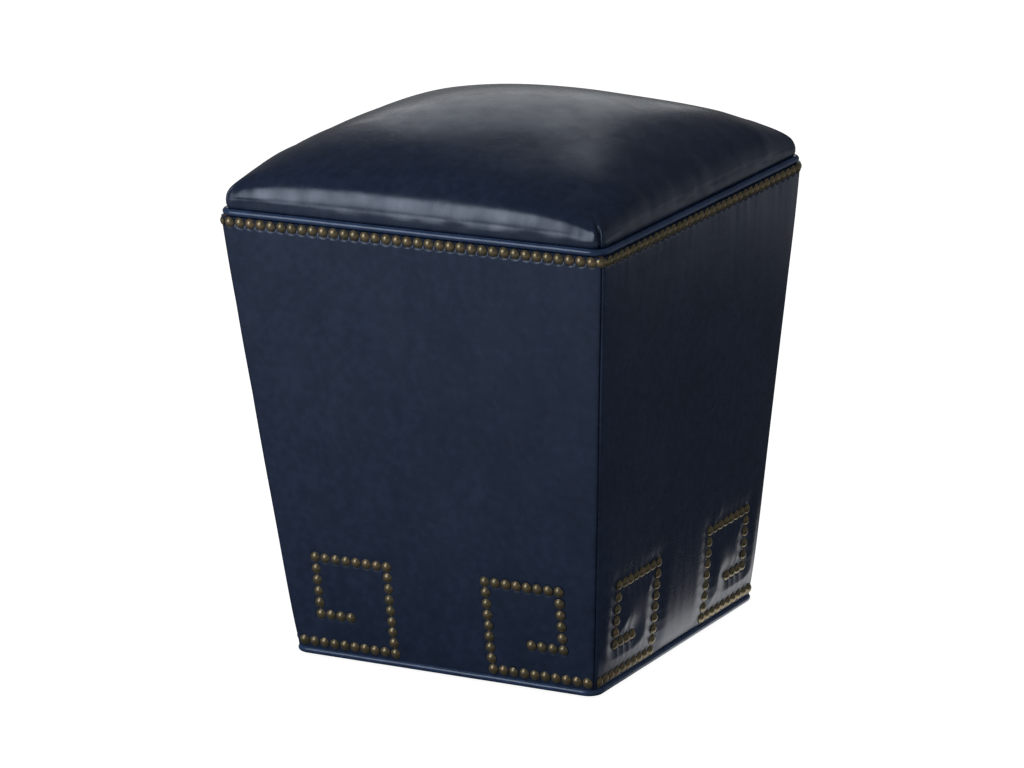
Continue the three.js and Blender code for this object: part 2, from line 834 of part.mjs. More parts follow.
// Seat
addPiece("seat_deck", seatDeck(), finishes.plywood);
addPiece("seat_foam", seatFoam(), finishes.foam);
addPiece("seat_wrap", seatWrap(), finishes.padding);
addPiece("seat_cover", seatCover(), finishes.leather);

// Decorative nails: the Greek keys start close to two opposite corners and further from the others
sideNames.forEach((side, face) => {
  const isOddFace = face % 2 === 1;
  const leftMargin = nailHeadDiameter / 2 + (isOddFace ? keyCornerGapTight : keyCornerGapLoose);
  const rightMargin = nailHeadDiameter / 2 + (isOddFace ? keyCornerGapLoose : keyCornerGapTight);
  addPiece(`nails_top_${side}`, nailRun(topRowPlaces()), finishes.nail, face);
  addPiece(`nail_corner_${face + 1}`, cornerNail(), finishes.nail, face);
  addPiece(`nails_key_${side}_left`, nailRun(keyPlaces(1, leftMargin)), finishes.nail, face);
  addPiece(`nails_key_${side}_right`, nailRun(keyPlaces(-1, rightMargin)), finishes.nail, face);
});

export default stool;
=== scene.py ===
# Looks of the upholstered footstool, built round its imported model.
# Metres, +Z up, origin on the floor under the middle of the stool. Faces are numbered 0 front (-Y),
# 1 right (+X), 2 back (+Y), 3 left (-X); each is shaped as the front one, then turned about Z.
import math
import random

import bpy
import numpy as np
from mathutils import Matrix, Vector, noise


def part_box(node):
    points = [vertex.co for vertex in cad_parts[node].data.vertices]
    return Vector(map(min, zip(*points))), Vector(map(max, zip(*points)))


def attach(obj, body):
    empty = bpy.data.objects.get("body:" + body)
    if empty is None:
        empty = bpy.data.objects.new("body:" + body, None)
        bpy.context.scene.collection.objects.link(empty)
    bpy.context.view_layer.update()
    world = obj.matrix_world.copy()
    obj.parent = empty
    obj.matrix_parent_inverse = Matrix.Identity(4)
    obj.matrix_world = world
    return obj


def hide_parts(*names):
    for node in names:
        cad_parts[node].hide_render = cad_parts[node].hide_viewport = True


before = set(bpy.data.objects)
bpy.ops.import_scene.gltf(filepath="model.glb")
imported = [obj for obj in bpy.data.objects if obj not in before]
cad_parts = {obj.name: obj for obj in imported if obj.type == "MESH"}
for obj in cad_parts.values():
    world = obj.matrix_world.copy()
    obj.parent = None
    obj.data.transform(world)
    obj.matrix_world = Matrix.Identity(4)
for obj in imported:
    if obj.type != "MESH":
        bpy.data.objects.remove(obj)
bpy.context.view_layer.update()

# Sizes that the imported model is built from
BODY_WIDTH_AT_TOP_NAILS = 0.4354
BODY_WIDTH_AT_BOTTOM_NAILS = 0.3492
NAIL_ROW_SPACING = 0.4475
FLOOR_TO_WELT = 0.004
JOINT_GAP = 0.0003
LEATHER_THICKNESS = 0.0016
FIELD_RISE = 0.0028
FIELD_FADE_BOTTOM = 0.020
FIELD_FADE_TOP = 0.035
PADDING_AT_NAILS = 0.0011
WELT_DIAMETER = 0.007
WELT_FLANGE_THICKNESS = 0.0014
WELT_FLANGE_REACH = 0.018
WELT_CORNER_RADIUS = 0.012
BOTTOM_WELT_INSET = 0.0012
TOP_WELT_INSET = 0.0017
NAIL_DIAMETER = 0.011
NAIL_HEIGHT = 0.0034
BOTTOM_NAIL_INSET = 0.0073
TOP_NAIL_INSET = 0.0052
NAILS_PER_TOP_ROW = 35
KEY_PITCH = 0.012
KEY_SHORT_COLUMN_PITCH = 0.0126
KEY_COUNTS = {"bottom": 10, "long_column": 9, "top": 8, "short_column": 6, "inner": 4}
KEY_CORNER_GAP_TIGHT = 0.0025
KEY_CORNER_GAP_LOOSE = 0.006
DECK_THICKNESS = 0.015
SEAT_LIP_WIDTH = 0.016
SEAT_BASE_ABOVE_WELT = 0.003
SEAT_CORNER_RADIUS = 0.012
SEAT_BULGE_ABOVE_WELT = 0.0105

# Heights and half widths worked out from them
WELT_RADIUS = WELT_DIAMETER / 2
BOTTOM_WELT_Z = FLOOR_TO_WELT + WELT_RADIUS
FRAME_BOTTOM_Z = BOTTOM_WELT_Z + WELT_RADIUS + JOINT_GAP
BOTTOM_NAIL_Z = FRAME_BOTTOM_Z + BOTTOM_NAIL_INSET
TOP_NAIL_Z = BOTTOM_NAIL_Z + NAIL_ROW_SPACING
FRAME_TOP_Z = TOP_NAIL_Z + TOP_NAIL_INSET
TOP_WELT_Z = FRAME_TOP_Z + JOINT_GAP + WELT_RADIUS
LIP_BOTTOM_Z = FRAME_TOP_Z + JOINT_GAP + WELT_FLANGE_THICKNESS + JOINT_GAP
LIP_TOP_Z = LIP_BOTTOM_Z + LEATHER_THICKNESS
DECK_TOP_Z = LIP_TOP_Z + JOINT_GAP + DECK_THICKNESS
SEAT_BASE_Z = TOP_WELT_Z + SEAT_BASE_ABOVE_WELT
SEAT_BULGE_Z = TOP_WELT_Z + SEAT_BULGE_ABOVE_WELT
BOTTOM_NAIL_HALF = BODY_WIDTH_AT_BOTTOM_NAILS / 2
TOP_NAIL_HALF = BODY_WIDTH_AT_TOP_NAILS / 2
SIDE_SLOPE = (TOP_NAIL_HALF - BOTTOM_NAIL_HALF) / NAIL_ROW_SPACING
SIDE_ANGLE = math.atan(SIDE_SLOPE)
FRAME_INSET = LEATHER_THICKNESS + JOINT_GAP + PADDING_AT_NAILS + JOINT_GAP
TOP_WELT_HALF = TOP_NAIL_HALF - TOP_WELT_INSET
BOTTOM_WELT_HALF = BOTTOM_NAIL_HALF - BOTTOM_WELT_INSET
SEAT_HALF = TOP_WELT_HALF
SEAT_FOOT_HALF = TOP_WELT_HALF - WELT_RADIUS - JOINT_GAP
NAIL_RADIUS = NAIL_DIAMETER / 2
SIDE_NAMES = ("front", "right", "back", "left")

# The camera of the photograph
CAMERA_YAW = math.radians(29.541)
CAMERA_PITCH = math.radians(15.866)
CAMERA_ROLL = math.radians(-1.597)
CAMERA_DISTANCE = 5.494
CAMERA_AIM_HEIGHT = 0.2436
CAMERA_AIM_ACROSS = -0.009045
CAMERA_AIM_UP = 0.01943
CAMERA_LENS_MM = 188.03
CAMERA_SENSOR_MM = 36.0


def make_camera():
    """Camera at the photograph's viewing angle, far off with a long lens."""
    out = math.cos(CAMERA_PITCH)
    back = Vector((math.sin(CAMERA_YAW) * out, -math.cos(CAMERA_YAW) * out, math.sin(CAMERA_PITCH)))
    level = Vector((math.cos(CAMERA_YAW), math.sin(CAMERA_YAW), 0))
    upright = back.cross(level)
    right = math.cos(CAMERA_ROLL) * level + math.sin(CAMERA_ROLL) * upright
    up = -math.sin(CAMERA_ROLL) * level + math.cos(CAMERA_ROLL) * upright
    aim = Vector((0, 0, CAMERA_AIM_HEIGHT)) + CAMERA_AIM_ACROSS * right + CAMERA_AIM_UP * up
    data = bpy.data.cameras.new("camera")
    data.lens = CAMERA_LENS_MM
    data.sensor_width = CAMERA_SENSOR_MM
    data.clip_end = 4 * CAMERA_DISTANCE
    camera = bpy.data.objects.new("camera", data)
    turn = Matrix((right, up, back)).transposed().to_4x4()
    camera.matrix_world = Matrix.Translation(aim + CAMERA_DISTANCE * back) @ turn
    bpy.context.scene.collection.objects.link(camera)
    bpy.context.scene.camera = camera


def add_node(tree, kind, inputs=None, **settings):
    """Shader node with its settings, and its inputs set to values or linked to sockets."""
    node = tree.nodes.new(kind)
    for name, value in settings.items():
        setattr(node, name, value)
    for name, value in (inputs or {}).items():
        plug(tree, node.inputs[name], value)
    return node


def plug(tree, socket, value):
    """Links a socket to an input, or sets the input's value."""
    if isinstance(value, bpy.types.NodeSocket):
        tree.links.new(value, socket)
    else:
        socket.default_value = value


def new_material(name):
    """Material with a Principled shader, and the place on the object as texture coordinate."""
    material = bpy.data.materials.new(name)
    material.use_nodes = True
    tree = material.node_tree
    tree.nodes.clear()
    shader = add_node(tree, "ShaderNodeBsdfPrincipled")
    output = add_node(tree, "ShaderNodeOutputMaterial")
    tree.links.new(shader.outputs["BSDF"], output.inputs["Surface"])
    place = add_node(tree, "ShaderNodeTexCoord").outputs["Object"]
    return material, tree, shader, place


def noise_of(tree, place, scale, detail=2.0, roughness=0.5, distortion=0.0):
    """Noise value at a place; the scale is in waves per metre."""
    inputs = {
        "Vector": place,
        "Scale": scale,
        "Detail": detail,
        "Roughness": roughness,
        "Distortion": distortion,
    }
    return add_node(tree, "ShaderNodeTexNoise", inputs).outputs["Fac"]


def stretched(tree, place, scale):
    """The place with each axis multiplied by its own factor."""
    return add_node(tree, "ShaderNodeMapping", {"Vector": place, "Scale": scale}).outputs["Vector"]


def ramp(tree, factor, stops):
    """Colour ramp through stops of position and colour."""
    node = add_node(tree, "ShaderNodeValToRGB", {"Fac": factor})
    elements = node.color_ramp.elements
    while len(elements) < len(stops):
        elements.new(0.5)
    for element, (position, colour) in zip(elements, stops):
        element.position = position
        element.color = (*colour, 1)
    return node.outputs["Color"]


def spread(tree, value, low, high, from_low=0.3, from_high=0.7):
    """A value between two levels of noise, mapped to a new range."""
    inputs = {"Value": value, "From Min": from_low, "From Max": from_high, "To Min": low, "To Max": high}
    return add_node(tree, "ShaderNodeMapRange", inputs).outputs["Result"]


def maths(tree, operation, first, second=0.0):
    """One sum of two values or sockets."""
    node = add_node(tree, "ShaderNodeMath", operation=operation)
    plug(tree, node.inputs[0], first)
    plug(tree, node.inputs[1], second)
    return node.outputs["Value"]


def bump(tree, height, distance, strength=1.0, normal=None):
    """Bump of a height map, over another bump if one is given."""
    inputs = {"Height": height, "Distance": distance, "Strength": strength}
    if normal is not None:
        inputs["Normal"] = normal
    return add_node(tree, "ShaderNodeBump", inputs).outputs["Normal"]


def leather_material(name, tones, polish, specular, uneven, grain):
    """Waxed navy leather: mottled dye, uneven polish, fine pores and creases."""
    material, tree, shader, place = new_material(name)
    broad = noise_of(tree, place, 16, detail=2)
    mottle = noise_of(tree, place, 110, detail=3)
    dye = maths(tree, "ADD", maths(tree, "MULTIPLY", broad, 0.35), maths(tree, "MULTIPLY", mottle, 0.65))
    plug(tree, shader.inputs["Base Color"], ramp(tree, dye, list(zip((0.36, 0.5, 0.64), tones))))
    rubbed = noise_of(tree, place, 38, detail=3)
    plug(tree, shader.inputs["Roughness"], spread(tree, rubbed, polish[0], polish[1]))
    waxed = noise_of(tree, stretched(tree, place, (1, 1, 0.2)), 48, detail=3)
    shine = spread(tree, waxed, (1 - uneven) * specular, (1 + uneven) * specular)
    plug(tree, shader.inputs["Specular IOR Level"], shine)
    shader.inputs["Specular Tint"].default_value = LEATHER_GLOSS
    inputs = {"Vector": place, "Scale": 900}
    cells = add_node(tree, "ShaderNodeTexVoronoi", inputs, feature="DISTANCE_TO_EDGE")
    creases = maths(tree, "MINIMUM", cells.outputs["Distance"], 0.25)
    pores = noise_of(tree, place, 1500, detail=2)
    skin = maths(tree, "ADD", creases, maths(tree, "MULTIPLY", pores, 0.35))
    soft = bump(tree, noise_of(tree, place, 70, detail=2), 0.0006, 0.2)
    plug(tree, shader.inputs["Normal"], bump(tree, skin, grain, 0.35, soft))
    return material


def brass_material():
    """Antique brass: dark olive patina with rubbed, warmer places."""
    material, tree, shader, place = new_material("antique_brass")
    batch = noise_of(tree, place, 70, detail=1)
    patina = noise_of(tree, place, 420, detail=4, roughness=0.7)
    tone = maths(tree, "ADD", maths(tree, "MULTIPLY", batch, 0.55), maths(tree, "MULTIPLY", patina, 0.45))
    stops = [(0.36, (0.23, 0.2, 0.125)), (0.5, (0.3, 0.255, 0.155)), (0.64, (0.37, 0.275, 0.17))]
    plug(tree, shader.inputs["Base Color"], ramp(tree, tone, stops))
    shader.inputs["Metallic"].default_value = 0.75
    plug(tree, shader.inputs["Roughness"], spread(tree, patina, 0.26, 0.36))
    dents = noise_of(tree, place, 650, detail=2)
    plug(tree, shader.inputs["Normal"], bump(tree, dents, 0.0001, 0.3))
    return material


def wood_material(name, dark, light, ring_scale, stretch):
    """Timber with long grain along Z or across the board, and fine pores."""
    material, tree, shader, place = new_material(name)
    along = stretched(tree, place, stretch)
    grain = noise_of(tree, along, ring_scale, detail=5, roughness=0.6, distortion=1.2)
    plug(tree, shader.inputs["Base Color"], ramp(tree, grain, [(0.35, dark), (0.65, light)]))
    plug(tree, shader.inputs["Roughness"], spread(tree, grain, 0.55, 0.78))
    pores = noise_of(tree, along, 8 * ring_scale, detail=2)
    plug(tree, shader.inputs["Normal"], bump(tree, pores, 0.0003, 0.4))
    return material


def weave_material():
    """Thin black spun cloth with a fine cross weave."""
    material, tree, shader, place = new_material("black_dust_cloth")
    threads = {"Vector": place, "Scale": 330.0, "Distortion": 0.6}
    threads_x = add_node(tree, "ShaderNodeTexWave", threads)
    threads_y = add_node(tree, "ShaderNodeTexWave", threads, bands_direction="Y")
    weave = maths(tree, "MULTIPLY", threads_x.outputs["Fac"], threads_y.outputs["Fac"])
    stops = [(0.0, (0.006, 0.006, 0.007)), (1.0, (0.03, 0.03, 0.032))]
    plug(tree, shader.inputs["Base Color"], ramp(tree, weave, stops))
    fuzz = noise_of(tree, place, 160, detail=5)
    plug(tree, shader.inputs["Roughness"], spread(tree, fuzz, 0.75, 0.95))
    plug(tree, shader.inputs["Normal"], bump(tree, weave, 0.0003, 0.6))
    return material


def plastic_material():
    """Black moulded plastic with a fine texture and scuffs."""
    material, tree, shader, place = new_material("black_plastic")
    scuff = noise_of(tree, place, 220, detail=6, roughness=0.7)
    stops = [(0.4, (0.012, 0.012, 0.013)), (0.7, (0.03, 0.03, 0.032))]
    plug(tree, shader.inputs["Base Color"], ramp(tree, scuff, stops))
    plug(tree, shader.inputs["Roughness"], spread(tree, scuff, 0.38, 0.6))
    spark = noise_of(tree, place, 2600, detail=1)
    plug(tree, shader.inputs["Normal"], bump(tree, spark, 0.00008, 0.5))
    return material


def steel_material():
    """Zinc plated steel with small stains."""
    material, tree, shader, place = new_material("zinc_steel")
    stain = noise_of(tree, place, 300, detail=5)
    stops = [(0.35, (0.36, 0.36, 0.35)), (0.65, (0.6, 0.6, 0.6))]
    plug(tree, shader.inputs["Base Color"], ramp(tree, stain, stops))
    shader.inputs["Metallic"].default_value = 1.0
    plug(tree, shader.inputs["Roughness"], spread(tree, stain, 0.28, 0.45))
    return material


# Dye of each leather from its darkest to its lightest places
SEAT_TONES = ((0.012, 0.021, 0.048), (0.015, 0.026, 0.059), (0.019, 0.032, 0.071))
SIDE_TONES = ((0.017, 0.028, 0.060), (0.021, 0.034, 0.072), (0.025, 0.041, 0.087))
WELT_TONES = ((0.021, 0.042, 0.100), (0.028, 0.056, 0.132), (0.035, 0.070, 0.165))
LEATHER_GLOSS = (0.78, 0.87, 1.0, 1.0)


def make_materials():
    """Every material by its short name."""
    return {
        "seat": leather_material("seat_leather", SEAT_TONES, (0.2, 0.3), 0.8, 0.32, 0.00006),
        "side": leather_material("side_leather", SIDE_TONES, (0.25, 0.3), 0.6, 0.14, 0.00006),
        "welt": leather_material("welt_leather", WELT_TONES, (0.18, 0.26), 0.8, 0.1, 0.00006),
        "brass": brass_material(),
        "plywood": wood_material("birch_plywood", (0.33, 0.2, 0.1), (0.55, 0.38, 0.21), 26, (1, 1, 6)),
        "hardwood": wood_material("beech_hardwood", (0.27, 0.15, 0.075), (0.44, 0.27, 0.15), 60, (1, 1, 0.1)),
        "dust_cloth": weave_material(),
        "plastic": plastic_material(),
        "steel": steel_material(),
    }


def nail_plane_half(z):
    """Half width of the body at a height, in the plane of the nail rows."""
    return BOTTOM_NAIL_HALF + SIDE_SLOPE * (z - BOTTOM_NAIL_Z)


def field_rise(z):
    """How far the padded leather stands out at a height, in the middle of a face."""
    near_bottom = np.exp((BOTTOM_NAIL_Z - z) / FIELD_FADE_BOTTOM)
    near_top = np.exp((z - TOP_NAIL_Z) / FIELD_FADE_TOP)
    return FIELD_RISE * np.maximum(1 - near_bottom - near_top, 0)


def leather_half(z, to_corner):
    """Half width of the leather where the nails hold it, at a height and a distance from the corner."""
    full = 1 - np.exp(-((to_corner / CORNER_REACH) ** 2))
    return nail_plane_half(z) + field_rise(z) * (CORNER_RISE_SHARE + (1 - CORNER_RISE_SHARE) * full)


def turned(points, face):
    """Points of the front face turned about Z to another face."""
    turn = np.array(Matrix.Rotation(face * math.pi / 2, 3, "Z"))
    return np.asarray(points) @ turn.T


def make_piece(name, points, faces, material, sharp_angle=math.radians(50)):
    """Mesh piece that rides on the stool's only body and takes its finish from a slot."""
    mesh = bpy.data.meshes.new(name)
    mesh.from_pydata([tuple(point) for point in points], [], faces)
    mesh.materials.append(material)
    mesh.shade_smooth()
    mesh.set_sharp_from_angle(angle=sharp_angle)
    piece = bpy.data.objects.new(name, mesh)
    bpy.context.scene.collection.objects.link(piece)
    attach(piece, "root")
    return piece


def top_row_places():
    """Nails of a top row between the corner nails, as place along the face and height."""
    pitch = BODY_WIDTH_AT_TOP_NAILS / (NAILS_PER_TOP_ROW + 1)
    return [(i * pitch - TOP_NAIL_HALF, TOP_NAIL_Z) for i in range(1, NAILS_PER_TOP_ROW + 1)]


def key_places(hand, margin):
    """Greek key from the bottom corner inwards, up, back, down and in; hand 1 starts at the left."""
    rise = math.cos(SIDE_ANGLE)
    legs = [
        (KEY_COUNTS["bottom"] - 1, KEY_PITCH, 0),
        (KEY_COUNTS["long_column"] - 1, 0, KEY_PITCH),
        (KEY_COUNTS["top"] - 1, -KEY_PITCH, 0),
        (KEY_COUNTS["short_column"] - 1, 0, -KEY_SHORT_COLUMN_PITCH),
        (KEY_COUNTS["inner"] - 1, KEY_PITCH, 0),
    ]
    along, z = hand * (margin - BOTTOM_NAIL_HALF), BOTTOM_NAIL_Z
    places = [(along, z)]
    for count, step_along, step_up in legs:
        for _ in range(count):
            along += hand * step_along
            z += step_up * rise
            places.append((along, z))
    return places


def key_margins(face):
    """Distance of the first nail of the left and the right key from its corner."""
    tight = NAIL_RADIUS + KEY_CORNER_GAP_TIGHT
    loose = NAIL_RADIUS + KEY_CORNER_GAP_LOOSE
    return (tight, loose) if face % 2 else (loose, tight)


def face_nails(face):
    """All nails of a face, without its corner nails."""
    left, right = key_margins(face)
    return top_row_places() + key_places(1, left) + key_places(-1, right)


def waves(points, wavelength, seed):
    """Smooth seeded noise from -1 to 1 at each point."""
    cells = 32
    lattice = np.random.default_rng(seed).uniform(-1, 1, (cells, cells, cells))
    place = np.asarray(points) / wavelength
    low = np.floor(place).astype(int)
    share = place - low
    share = share**3 * (share * (6 * share - 15) + 10)
    total = np.zeros(len(place))
    for corner in range(8):
        step = np.array([(corner >> axis) & 1 for axis in range(3)])
        weight = np.prod(np.where(step, share, 1 - share), axis=1)
        i, j, k = ((low + step) % cells).T
        total += weight * lattice[i, j, k]
    return total


# Leather at the corners of the body
CORNER_REACH = 0.03
CORNER_RISE_SHARE = 0.4
CORNER_RADIUS = 0.007

# How the side leather swells between its nails; the pillows inside the keys differ by face
NAIL_SEAT_RADIUS = 0.0047
SWELL_FADE = 0.0014
SWELL = 0.0010
SWELL_AT_TOP = 0.0015
SWELL_TOP_FADE = 0.03
PILLOW_FADE = 0.013
PILLOW_TOP_FADE = 0.02
PILLOW_BY_FACE = (0.0007, 0.0026, 0.0014, 0.0014)
PUCKER_HEIGHT = 0.0004
PUCKER_START = 0.009
PUCKER_FADE = 0.02
SEAM_PULL = 0.0015
SEAM_WIDTH = 0.0009
SEAM_CALM = 0.012
FOOT_FADE = 0.007

# Slow drift and fine ripple of the side leather, with their wavelengths and upright stretch
FREE_OF_NAILS = 0.03
DRIFT_HEIGHT = 0.0007
DRIFT_LENGTH = 0.11
RIPPLE_HEIGHT = 0.00006
RIPPLE_LENGTH = 0.009
RIPPLE_STRETCH = 0.16
PUCKER_LENGTH = 0.008
PUCKER_STRETCH = 0.05

# Rows and columns of the side leather's mesh
FINE_STEP = 0.0014
FIELD_STEP = 0.006
TOP_STEP = 0.0008
KEY_ZONE_TOP_Z = 0.145
TOP_ZONE_BOTTOM_Z = 0.446
CORNER_STEPS = 10


def spaced(start, end, step):
    """Even steps from the start up to but without the end."""
    return list(np.linspace(start, end, max(2, round((end - start) / step)) + 1)[:-1])


def side_rows():
    """Heights of the side leather's rows, closer together at the keys and at the top nails."""
    low = spaced(FRAME_BOTTOM_Z, KEY_ZONE_TOP_Z, FINE_STEP)
    middle = spaced(KEY_ZONE_TOP_Z, TOP_ZONE_BOTTOM_Z, FIELD_STEP)
    high = spaced(TOP_ZONE_BOTTOM_Z, FRAME_TOP_Z, TOP_STEP)
    return np.array(low + middle + high + [FRAME_TOP_Z])


def side_columns():
    """Columns from one corner seam to the other, as share of the straight part and corner angle."""
    straight = spaced(-1, 1, FINE_STEP / TOP_NAIL_HALF) + [1.0]
    seam = math.pi / 4 - JOINT_GAP / 2 / CORNER_RADIUS
    turns = [seam * step / CORNER_STEPS for step in range(1, CORNER_STEPS + 1)]
    left = [(-1.0, -turn) for turn in reversed(turns)]
    return np.array(left + [(share, 0.0) for share in straight] + [(1.0, turn) for turn in turns])


def swell(along, z, face):
    """How far the leather of a face stands out between its nails, close to them and further off."""
    nails = face_nails(face) + [(-TOP_NAIL_HALF, TOP_NAIL_Z), (TOP_NAIL_HALF, TOP_NAIL_Z)]
    free = np.ones_like(along)
    reach = np.full_like(along, 1.0)
    for nail_along, nail_z in nails:
        distance = np.maximum(np.hypot(along - nail_along, z - nail_z) - NAIL_SEAT_RADIUS, 0)
        free *= 1 - np.exp(-((distance / SWELL_FADE) ** 2))
        if nail_z < TOP_NAIL_Z:
            reach = np.minimum(reach, distance)
    height = SWELL + (SWELL_AT_TOP - SWELL) * np.exp((z - TOP_NAIL_Z) / SWELL_TOP_FADE)
    at_foot = 1 - np.exp(-(z - FRAME_BOTTOM_Z) / FOOT_FADE)
    low = 1 / (1 + np.exp((z - KEY_ZONE_TOP_Z) / PILLOW_TOP_FADE))
    pillow = PILLOW_BY_FACE[face] * (1 - np.exp(-((reach / PILLOW_FADE) ** 2))) * low
    return (height * free + pillow) * at_foot


def ridge(along, z, start, end, width, height):
    """Soft ridge along a line, fading towards its ends."""
    start, end = np.array(start), np.array(end)
    line = end - start
    length = np.hypot(*line)
    share = ((along - start[0]) * line[0] + (z - start[1]) * line[1]) / length**2
    off = ((along - start[0]) * line[1] - (z - start[1]) * line[0]) / length
    fade = np.exp(-((2 * share - 1) ** 4))
    return height * np.exp(-((off / width) ** 2)) * fade


def tension_folds(along, z, face):
    """Soft folds that the nailed keys draw in the leather, as ridges beside and above them."""
    left_margin, right_margin = key_margins(face)
    side = KEY_PITCH * (KEY_COUNTS["long_column"] - 1)
    key_width = KEY_PITCH * (KEY_COUNTS["bottom"] - 1)
    right_key = BOTTOM_NAIL_HALF - right_margin - key_width
    left_key = left_margin - BOTTOM_NAIL_HALF + key_width
    beside = NAIL_DIAMETER
    folds = [
        ((right_key - beside, BOTTOM_NAIL_Z), (right_key - beside / 2, side), 0.008, 0.5),
        ((right_key - beside / 2, side), (right_key + 2 * beside, 1.5 * side), 0.009, 0.7),
        ((left_key + beside, BOTTOM_NAIL_Z), (left_key + beside, side), 0.012, 0.4),
        ((left_key - key_width, side), (left_key - beside, 1.4 * side), 0.010, 0.5),
    ]
    total = np.zeros_like(along)
    for start, end, width, share in folds:
        total += ridge(along, z, start, end, width, share * SWELL)
    return total


def side_skin(face):
    """Outer surface of a face's leather as a grid of points, rows from the bottom up."""
    rows, columns = side_rows(), side_columns()
    z, share = np.meshgrid(rows, columns[:, 0], indexing="ij")
    turn = np.broadcast_to(columns[:, 1], z.shape)
    at_corner = leather_half(z, 0)
    straight = at_corner - CORNER_RADIUS
    along = share * straight + CORNER_RADIUS * turn
    to_seam = CORNER_RADIUS * (math.pi / 4 - np.abs(turn)) + straight - np.abs(share * straight)
    out = swell(along, z, face) + tension_folds(along, z, face)
    out *= 1 - np.exp(-((to_seam / SEAM_CALM) ** 2))
    out += leather_half(z, to_seam) - at_corner
    out -= SEAM_PULL * np.exp(-((to_seam / SEAM_WIDTH) ** 2))
    flat = np.stack([along.ravel(), np.full(z.size, float(face)), z.ravel()], axis=1)
    above_foot = np.clip((z - FRAME_BOTTOM_Z) / FREE_OF_NAILS, 0, 1)
    held = above_foot * np.clip((TOP_NAIL_Z - z) / FREE_OF_NAILS, 0, 1)
    drift = waves(flat, DRIFT_LENGTH, 1).reshape(z.shape)
    ripple = waves(flat * np.array([1, 1, RIPPLE_STRETCH]), RIPPLE_LENGTH, 2).reshape(z.shape)
    out += held * (DRIFT_HEIGHT * drift + RIPPLE_HEIGHT * ripple)
    pull = waves(flat * np.array([1, 1, PUCKER_STRETCH]), PUCKER_LENGTH, 7).reshape(z.shape)
    out += PUCKER_HEIGHT * pull * np.exp(-np.abs(TOP_NAIL_Z - PUCKER_START - z) / PUCKER_FADE)
    radius = CORNER_RADIUS + out
    x = share * straight + radius * np.sin(turn)
    y = -straight - radius * np.cos(turn)
    return np.stack([x, y, z], axis=2)


def make_side(face, materials):
    """Side leather with its padding: a closed piece from the skin back to the wooden frame."""
    skin = side_skin(face)
    count_z, count_x = skin.shape[:2]
    rim = [(0, j) for j in range(count_x - 1)] + [(i, count_x - 1) for i in range(count_z - 1)]
    rim += [(count_z - 1, j) for j in range(count_x - 1, 0, -1)] + [(i, 0) for i in range(count_z - 1, 0, -1)]
    back = []
    for i, j in rim:
        x, _, z = skin[i, j]
        depth = nail_plane_half(z) - FRAME_INSET + JOINT_GAP
        limit = depth - JOINT_GAP / 2
        back.append((min(max(x, -limit), limit), -depth, z))
    points = np.vstack([skin.reshape(-1, 3), np.array(back)])
    faces = []

    def index(i, j):
        return i * count_x + j

    for i in range(count_z - 1):
        for j in range(count_x - 1):
            faces.append((index(i, j), index(i, j + 1), index(i + 1, j + 1), index(i + 1, j)))
    first = count_z * count_x
    ring = [index(i, j) for i, j in rim]
    for k in range(len(ring)):
        following = (k + 1) % len(ring)
        faces.append((ring[following], ring[k], first + k, first + following))
    faces.append(tuple(first + k for k in reversed(range(len(ring)))))
    side = SIDE_NAMES[face]
    piece = make_piece(f"side_leather_{side}", turned(points, face), faces, materials["side"])
    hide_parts(f"side_cover_{side}", f"side_pad_{side}")


def rounded_square(half, radius, spacing):
    """Points round a rounded square, counter-clockwise, with their outward directions."""
    points, normals = [], []
    straight = half - radius
    steps = max(5, round(radius * math.pi / 2 / spacing))
    runs = max(2, round(2 * straight / spacing))
    for corner in range(4):
        turn = corner * math.pi / 2
        cos, sin = round(math.cos(turn)), round(math.sin(turn))
        local = [((half, -straight + 2 * straight * i / runs), (1.0, 0.0)) for i in range(runs)]
        for step in range(steps):
            angle = math.pi / 2 * step / steps
            normal = (math.cos(angle), math.sin(angle))
            local.append(((straight + radius * normal[0], straight + radius * normal[1]), normal))
        for (x, y), (nx, ny) in local:
            points.append((x * cos - y * sin, x * sin + y * cos))
            normals.append((nx * cos - ny * sin, nx * sin + ny * cos))
    return np.array(points), np.array(normals)


# Welts
WELT_STEP = 0.003
WELT_SIDES = 20
WELT_WOBBLE = 0.00025
WELT_WOBBLE_LENGTH = 0.028


def make_welt(name, half, centre_z, flange_side, materials, node):
    """Welt: a leather-covered cord with a flat flange that runs inwards under the seat or the body."""
    path, normals = rounded_square(half, WELT_CORNER_RADIUS, WELT_STEP)
    wobble = waves(np.column_stack([path, np.full(len(path), centre_z)]), WELT_WOBBLE_LENGTH, 3)
    open_angle = math.acos(1 - WELT_FLANGE_THICKNESS / WELT_RADIUS)
    sweep = 2 * math.pi - open_angle
    edge_z = centre_z + flange_side * WELT_RADIUS
    inner_z = edge_z - flange_side * WELT_FLANGE_THICKNESS
    count = len(path)
    rings = []
    for i in range(WELT_SIDES + 1):
        angle = flange_side * (math.pi / 2 - sweep * i / WELT_SIDES)
        swell_here = np.clip(math.cos(angle), 0, 1) * WELT_WOBBLE * wobble
        reach = WELT_RADIUS * math.cos(angle) + swell_here
        height = centre_z + WELT_RADIUS * math.sin(angle)
        rings.append(np.column_stack([path + normals * reach[:, None], np.full(count, height)]))
    for z in (inner_z, edge_z):
        inner = shrunk_ring(path, half, WELT_FLANGE_REACH)
        rings.append(np.column_stack([inner, np.full(count, z)]))
    points = np.vstack(rings)
    faces = []
    for ring in range(len(rings)):
        other = (ring + 1) % len(rings)
        for i in range(count):
            j = (i + 1) % count
            quad = (ring * count + i, ring * count + j, other * count + j, other * count + i)
            faces.append(quad if flange_side < 0 else quad[::-1])
    piece = make_piece(name, points, faces, materials["welt"])
    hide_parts(node)


